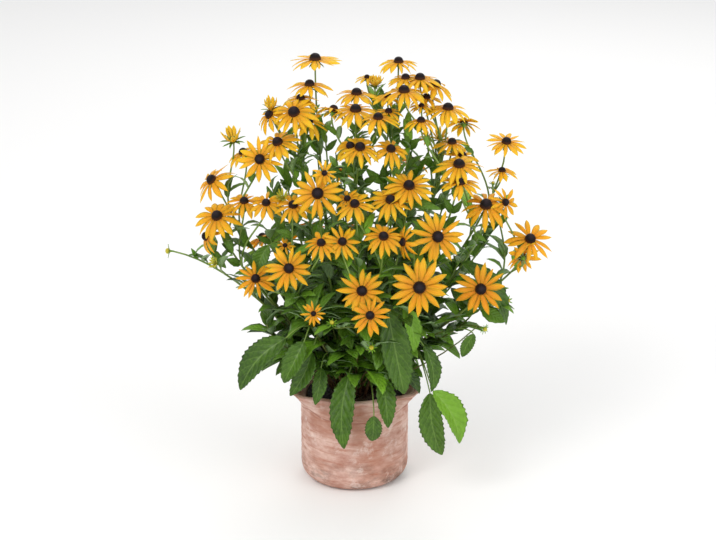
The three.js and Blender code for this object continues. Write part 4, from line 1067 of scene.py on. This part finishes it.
thin = on_shoot | (draw(seed, 5) < np.where(base[:, 1] < -0.05, front_share, behind_share) * inward_share)
fill_number, base, seed, height, fill_share = (
    part[thin] for part in (fill_number, base, seed, height, fill_share)
)
low = np.clip(1 - height / 0.36, 0.15, 1)
length = (0.020 + 0.040 * low) * (0.75 + 0.5 * draw(seed, 3))
attempt = np.arange(7)
turns = GOLDEN_ANGLE * (np.round(fill_share * 50)[:, None] + attempt * 3 + fill_number[:, None])
turns = turns + 40 * draw(seed[:, None], attempt + 9)
upright = 45 * np.clip(height / 0.35, 0, 1)[:, None]
rises = -22 + 50 * draw(seed[:, None], attempt) + upright
fill_leaf, _ = clear_leaves(base, length, 0.34 + 0.12 * low, 0.14, seed, turns, rises)

# Leaves from the crown itself, each on its own stalk, that close the plant's foot above the rim.
BASAL_LEAVES = 76
order = np.arange(BASAL_LEAVES)
seed = order + 801.0
turn = GOLDEN_ANGLE * order
stalk_out = 0.022 + 0.060 * draw(seed, 1)
stalk_rise = 0.150 + 0.125 * draw(seed, 2)
base = turned(np.radians(turn), stalk_out, stalk_rise)
length = 0.046 + 0.026 * draw(seed, 3)
attempt = np.arange(7)
turns = turn[:, None] + 60 * (draw(seed[:, None], attempt + 4) - 0.5)
rises = -32 + 40 * draw(seed[:, None], attempt + 12)
basal_leaf, kept = clear_leaves(base, length, 0.46, 0.16, seed, turns, rises)
basal_start = turned(np.radians(turn), 0.4 * CROWN_RADIUS, SOIL_HEIGHT)[kept]

small = [np.concatenate(group) for group in zip(stem_leaf, fill_leaf, basal_leaf)]
small_base, small_tip, small_width, small_arch, small_seed = small
small_face = unit(np.array([-0.25, -0.25, 0.75]) + 0.5 * draw(small_seed[:, None], np.array([31, 32, 33])))

# Most small leaves are dark and about one in seven is much lighter; those high up are painted lighter,
# as painted light on the plant's bright top.
small_tone = 0.10 + 0.56 * draw(small_seed, 41) ** 1.6 + 0.34 * (draw(small_seed, 42) > 0.86)
# Painted light: the lift in tone with height.
small_tone = small_tone + 0.22 * np.clip((small_base[:, 2] - 0.30) / 0.15, -0.3, 1.0)
add_leaves(
    "stem_leaves", small_base, small_tip, small_width, small_face, small_arch, small_seed, small_tone,
    SMALL_RINGS, 5,
)

# Stalks of the large leaves and of the leaves from the crown, and a long bare shoot that leaves low on the
# right, given by the four control points of its curve.
STALK_RINGS = 9
STALK_SIDES = 6
LOW_SHOOT = [[0.020, -0.012, 0.121], [0.045, -0.045, 0.165], [0.100, -0.060, 0.175], [0.160, -0.080, 0.247]]
stalk_from = np.concatenate([stalk_fork, basal_start])
stalk_to = np.concatenate([large_base, basal_leaf[0]])
stalk_end = unit(np.concatenate([large_tip - large_base, basal_leaf[1] - basal_leaf[0]]))
knee = stalk_from + (stalk_to - stalk_from) * 0.45 + [0.0, 0.0, 0.012]
before_blade, in_blade = stalk_to - stalk_end * 0.010, stalk_to + stalk_end * 0.004
stalk_controls = np.stack([stalk_from, knee, before_blade, in_blade], axis=1)
stalk_controls = np.concatenate([stalk_controls, [LOW_SHOOT]])
shares = np.linspace(0.0, 1.0, STALK_RINGS)
line = curve(stalk_controls[:, None], np.broadcast_to(shares, (len(stalk_controls), STALK_RINGS)))
stalk_radius = np.broadcast_to(0.0012 - 0.0004 * shares, line.shape[:2])
of_large_leaf = np.arange(len(line)) < len(stalk_fork)
add_copies(
    "leaf_stalks", round_tubes(line, stalk_radius, STALK_SIDES), STALK_RINGS, STALK_SIDES, stem_skin,
    "foliage", tone=of_large_leaf[:, None],
)


# The green cups: behind each bloom a small cup and a ring of narrow, hairy bracts hold the petals. The buds
# at the shoots' ends are the same bracts, closed round a green button.

CUP_RADIUS = 0.0036
BUD_CUP_RADIUS = 0.0016
CUP_SIDES = 10
CUP_HEIGHTS = np.array([-0.2, 0.15, 0.45, 0.8, 1.0])
CUP_SIZES = np.array([0.0, 0.2, 0.55, 0.95, 1.0])
BRACTS = 9
cup_radius = np.where(radius > LEAST_BLOOM, np.minimum(CUP_RADIUS, radius * 0.16), BUD_CUP_RADIUS)
level, upslope = square_to(axis)
neck = seat - axis * CALYX_LENGTH
cup_line = neck[:, None] + axis[:, None] * (CALYX_LENGTH * CUP_HEIGHTS)[:, None]
cup_size = SIDE_STEM_RADIUS + (cup_radius - SIDE_STEM_RADIUS)[:, None] * CUP_SIZES
add_copies(
    "cups", round_tubes(cup_line, cup_size, CUP_SIDES), len(CUP_HEIGHTS), CUP_SIDES, leaf_skin, "foliage",
    (0.3, 0.3), 0.5,
)

head_of = np.repeat(np.arange(len(axis)), BRACTS)
bract = np.tile(np.arange(BRACTS), len(axis))
seed = seeds[head_of] * 3.0 + bract
turn = 2 * math.pi * (bract + 0.4 * (draw(seed, 1) - 0.5)) / BRACTS
is_bud = head_of >= count
outward = round_axis(level[head_of], upslope[head_of], turn)
opening = frame_droop[head_of] < OPENING_DROOP

# Bracts lap a bud almost to its tip, stand up round an opening bloom and bend back beneath an open one.
size = radius[head_of] * np.where(is_bud, 0.95, np.where(opening, 0.62, 0.34))
back = np.where(is_bud | opening, 0.25, -0.30) * size * (0.6 + 0.8 * draw(seed, 2))
bract_base = seat[head_of] - axis[head_of] * 0.0006 + outward * (cup_radius[head_of] * 0.7)[:, None]
bract_tip = bract_base + outward * size[:, None] + axis[head_of] * back[:, None]
add_leaves(
    "bracts", bract_base, bract_tip, size * np.where(is_bud, 0.30, 0.26), axis[head_of], size * 0.06, seed,
    0.45 + 0.4 * is_bud, 4, 3,
)


# The petals: slender gold straps, each with two shallow grooves along it and a pointed tip, that leave the
# cone's foot and arch out and down. Blooms low on the plant are painted deeper orange: painted shade
# under the back-lit upper ones.

PETAL_SHARES = np.array([0.0, 0.14, 0.32, 0.52, 0.71, 0.87, 0.965])
PETAL_WIDTH_SHARE = 0.232
PETAL_SIDES = 8
GROOVE_DEPTH = 0.00035


def petal_half_width(share, width):
    """Half a petal's width: narrow at the foot, fullest past its middle and pointed at the tip, as the sine
    of pi times (0.15 + 0.85 share ^ 1.35)."""
    return 0.5 * width * np.maximum(np.sin(math.pi * (0.15 + 0.85 * share ** 1.35)), 0.0) ** 0.95


# Each bloom has one petal more than was counted, and one that looks up and isn't small has two more.
petal_counts = head_petals.astype(int) + 1 + (head_tilt > 50) * (head_radius > 0.026)
bloom = np.repeat(np.arange(count), petal_counts)
order = np.concatenate([np.arange(n) for n in petal_counts])
seed = (bloom + 1) * 1.0
salt = order * 1.0

# Each petal differs a little in where it stands, how it swings, its length and width, its fall and its roll.
step = 2 * math.pi / petal_counts[bloom]
turn = step * (order + 0.5 * (draw(seed, salt) - 0.5)) + seed
sway = 0.20 * (draw(seed, salt + 80) - 0.5)
size = head_radius[bloom]
cone = size * CONE_SHARE
stretch = 0.84 + 0.21 * draw(seed, salt + 40)
droop = head_droop[bloom]
uneven = 20 * (draw(seed, salt + 120) - 0.5) + np.where(draw(seed, salt + 160) > 0.88, 24, 0)
bend_start, bend_end = petal_bends(np.where(droop < 0, droop + uneven * 0.5, droop + uneven))
roll = np.radians(64) * (draw(seed, salt + 200) - 0.5)

share = PETAL_SHARES
reach = (size - cone * PETAL_FOOT) * stretch
out, height, bend = arc(share, bend_start[:, None], bend_end[:, None], reach[:, None])
out = out + cone[:, None] * PETAL_FOOT
level, upslope = square_to(axis[:count])
angle = turn[:, None] + sway[:, None] * share
outward = round_axis(level[bloom][:, None], upslope[bloom][:, None], angle)
axis_of = axis[bloom][:, None]
line = centre[bloom][:, None] + outward * out[..., None] + axis_of * (height + 0.0003)[..., None]
along = outward * np.cos(bend)[..., None] - axis_of * np.sin(bend)[..., None]
normal = outward * np.sin(bend)[..., None] + axis_of * np.cos(bend)[..., None]
side = np.cross(normal, along)
twist = (roll[:, None] * share)[..., None]
side, normal = side * np.cos(twist) + normal * np.sin(twist), normal * np.cos(twist) - side * np.sin(twist)
width = PETAL_WIDTH_SHARE * size * (0.74 + 0.50 * draw(seed, salt + 240))
half = petal_half_width(share, width[:, None])
spread = np.array([1.0, 0.45, 0.0, -0.45, -1.0, -0.45, 0.0, 0.45])
raised = np.array([0.0, -0.35, 1.0, -0.35, 0.0, -1.9, -0.6, -1.9]) * GROOVE_DEPTH
cupped = 0.16 * (draw(seed, salt + 280) - 0.35)
fullness = np.minimum(1.0, half / half.max(axis=1, keepdims=True) + 0.2)
lift = raised * fullness[..., None] + (cupped[:, None] * half)[..., None] * spread ** 2
section = np.stack([half[..., None] * spread, lift], axis=-1)
tip_out, tip_height, _ = arc(1.0, bend_start, bend_end, reach)
tip_way = round_axis(level[bloom], upslope[bloom], turn + sway)
tip = centre[bloom] + tip_way * (tip_out + cone * PETAL_FOOT)[:, None] + axis[bloom] * tip_height[:, None]
petal_points = swept(line, side, normal, section, np.stack([line[:, 0], tip], axis=1))
grown_tone = 0.5 * draw(seed, 7) + 0.5 * draw(seed, salt + 320)
petal_tone = np.where(droop < OPENING_DROOP, np.where(size < 0.015, -1.0, -0.5), grown_tone)

# Ray petal: soft, satin and slightly translucent. Golden yellow, deeper orange at its foot and in painted
# shade low on the plant, with fine lengthwise lines.
petal_skin, add, place = start_material("coneflower_petal")
growth = add("UVMap", {}, uv_map="growth")
tone = add("Attribute", {}, "Fac", attribute_name="tone")
along = add("SeparateXYZ", {0: growth}, 0)
up = add("SeparateXYZ", {0: place}, 2)
# Painted shade: deeper orange lower on the plant, mixed with each petal's own tone.
low_painted_shade = add("MapRange", {0: up, 1: 0.50, 2: 0.24})
own_orange_tone = add("Math", {0: tone, 1: 0.35}, operation="MULTIPLY")
shade_and_own_tone = add("Math", {0: low_painted_shade, 1: 0.65, 2: own_orange_tone}, operation="MULTIPLY_ADD")
foot_share = add("MapRange", {0: along, 1: 0.62, 2: 0.0, 4: 0.72})
youth = add("MapRange", {0: tone, 1: 0.0, 2: -0.5})
green_share = add("MapRange", {0: tone, 1: -0.5, 2: -1.0})
young = add("Mix", {0: green_share, 6: paint("#E8B638"), 7: paint("#A8B23C")}, 2, data_type="RGBA")
drawn_out = add("Mapping", {"Vector": growth, "Scale": (0.15, 1.0, 1.0)})
lines = add("TexWave", {"Vector": drawn_out, "Scale": 2.6, "Distortion": 0.8}, "Fac", bands_direction="Y")
line_share = add("Math", {0: lines, 1: 0.28}, operation="MULTIPLY")
colour = paint("#FDBE20")
for share, layer in (
    (shade_and_own_tone, paint("#E88414")), (foot_share, paint("#D46C06")), (youth, young), (line_share, paint("#C06A04")),
):
    colour = add("Mix", {0: share, 6: colour, 7: layer}, 2, data_type="RGBA")
finish_material(petal_skin, {
    "Base Color": colour, "Roughness": 0.55, "Specular IOR Level": 0.22,
    "Subsurface Weight": 0.6, "Subsurface Radius": (1.0, 0.6, 0.15), "Subsurface Scale": 0.004,
})

petal_corners = tube_corners(PETAL_SHARES, np.linspace(0.0, 1.0, PETAL_SIDES + 1))
for node in sorted(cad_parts):
    if node.startswith("bloom"):
        own = np.isin(bloom, [int(label) - 1 for label in node.split("_")[1:]])
        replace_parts(add_copies(
            node.replace("bloom", "petals_of_bloom"), petal_points[own], len(PETAL_SHARES), PETAL_SIDES,
            petal_skin, "petals", petal_corners, petal_tone[own, None],
        ), node)

# A bud's petals are still closed: a small yellow-green dome inside its bracts.
DOME_HEIGHTS = np.array([-0.1, 0.2, 0.4, 0.55, 0.62])
DOME_SIZES = np.array([0.20, 0.40, 0.42, 0.30, 0.12])
DOME_SIDES = 12
dome_line = seat[count:, None] + axis[count:, None] * (radius[count:, None] * DOME_HEIGHTS)[..., None]
add_copies(
    "closed_petals", round_tubes(dome_line, radius[count:, None] * DOME_SIZES, DOME_SIDES), len(DOME_SIZES),
    DOME_SIDES, petal_skin, "petals", (0.5, 0.5), -0.9,
)


# The cones: domes of tightly packed dark florets in crossing spirals, near black with a purple-grey
# painted highlight on the crown, and a worn brown foot where the petals leave.

CONE_RINGS = 12
CONE_SIDES = 26
CONE_TRIM = 0.96
FLORET = 0.0009
cone = head_radius * CONE_SHARE * CONE_TRIM
climb = np.linspace(-0.25, 0.94, CONE_RINGS) * math.pi / 2
level, upslope = square_to(axis[:count])
heads_axis = axis[:count, None]
line = centre[:count, None] + heads_axis * (cone[:, None] * CONE_RISE * np.sin(climb))[..., None]
ring_turn = np.arange(CONE_RINGS)[:, None] * 2 * math.pi / CONE_SIDES
floret = 1 + 0.055 * np.cos(CONE_SIDES / 2 * (round_steps(CONE_SIDES) + ring_turn))
ring_size = cone[:, None, None] * np.abs(np.cos(climb))[:, None] ** 0.8 * floret
cone_top = centre[:count] + axis[:count] * (cone * CONE_RISE)[:, None]
cone_points = swept(
    line, np.broadcast_to(level[:, None], line.shape), np.broadcast_to(upslope[:, None], line.shape),
    ring_size[..., None] * circle(CONE_SIDES), np.stack([line[:, 0], cone_top], axis=1),
)
cone_tone = np.tile(np.concatenate([np.repeat(climb / (math.pi / 2), CONE_SIDES), [-0.3, 1.0]]), (count, 1))
cone_tone[head_droop < OPENING_DROOP] -= 3

# Packed disc florets: velvety purple-black knobs about 0.9 mm across with a dull gloss, and a cold
# painted highlight on the crown.
florets, add, place = start_material("disc_florets")
knobs = add("TexVoronoi", {"Vector": place, "Scale": 1 / FLORET})
climbed = add("Attribute", {}, "Fac", attribute_name="tone")
foot_share = add("MapRange", {0: climbed, 1: 0.42, 2: 0.0})
# Painted highlight: a lighter purple-grey over the top of each cone.
painted_highlight_share = add("MapRange", {0: climbed, 1: 0.60, 2: 0.95, 4: 0.45})
unripe_share = add("MapRange", {0: climbed, 1: -1.0, 2: -1.5})
colour = paint("#1C0D10")
for share, layer in (
    (knobs, "#060304"), (painted_highlight_share, "#33262E"), (foot_share, "#56300F"), (unripe_share, "#7E7B22"),
):
    colour = add("Mix", {0: share, 6: colour, 7: paint(layer)}, 2, data_type="RGBA")
finish_material(florets, {
    "Base Color": colour, "Roughness": 0.55, "Specular IOR Level": 0.20,
    "Normal": add("Bump", {"Strength": 0.9, "Distance": 0.0006, "Height": knobs}, invert=True),
})
add_copies("cones", cone_points, CONE_RINGS, CONE_SIDES, florets, "cones", tone=cone_tone)


# The floor, the light and the eye: a plain pale floor, two large soft lights and a pale sky, seen from where
# the places were read.

FLOOR_HALF = 9.0
floor_mesh = bpy.data.meshes.new("floor")
floor_corners = [(x * FLOOR_HALF, y * FLOOR_HALF, 0) for x, y in ((-1, -1), (1, -1), (1, 1), (-1, 1))]
floor_mesh.from_pydata(floor_corners, [], [(0, 1, 2, 3)])
floor_paint, _, _ = start_material("matt_floor_paint")
finish_material(floor_paint, {"Base Color": paint("#F4F3F1"), "Roughness": 0.9})
floor_mesh.materials.append(floor_paint)
floor = bpy.data.objects.new("floor", floor_mesh)
bpy.context.scene.collection.objects.link(floor)


def add_light(name, place, size, power, target):
    """A square soft light at a place, turned towards a target."""
    data = bpy.data.lights.new(name, "AREA")
    data.size = size
    data.energy = power
    light = bpy.data.objects.new(name, data)
    light.location = place
    light.rotation_mode = "QUATERNION"
    light.rotation_quaternion = (Vector(target) - Vector(place)).to_track_quat("-Z", "Y")
    bpy.context.scene.collection.objects.link(light)


add_light("key_light", (-1.3, -1.9, 2.3), 1.3, 36.0, (0, 0, 0.3))
add_light("fill_light", (1.9, -1.5, 1.5), 1.8, 18.0, (0, 0, 0.3))
add_light("back_light", (0.4, 2.2, 2.0), 1.6, 16.0, (0, 0, 0.35))
sky = bpy.data.worlds.new("pale_sky")
sky.use_nodes = True
sky.node_tree.nodes["Background"].inputs["Color"].default_value = paint("#F7F8FA")
sky.node_tree.nodes["Background"].inputs["Strength"].default_value = 0.85
bpy.context.scene.world = sky
bpy.context.scene.view_settings.view_transform = "Standard"

SENSOR = 36.0
PICTURE_WIDTH = 716
eye_data = bpy.data.cameras.new("eye")
eye_data.sensor_width = SENSOR
eye_data.lens = PICTURE_SCALE / PICTURE_WIDTH * SENSOR
eye_data.clip_end = 60.0
eye = bpy.data.objects.new("eye", eye_data)
eye.location = EYE_PLACE
eye.rotation_euler = (math.pi / 2 - EYE_PITCH, 0.0, 0.0)
bpy.context.scene.collection.objects.link(eye)
bpy.context.scene.camera = eye
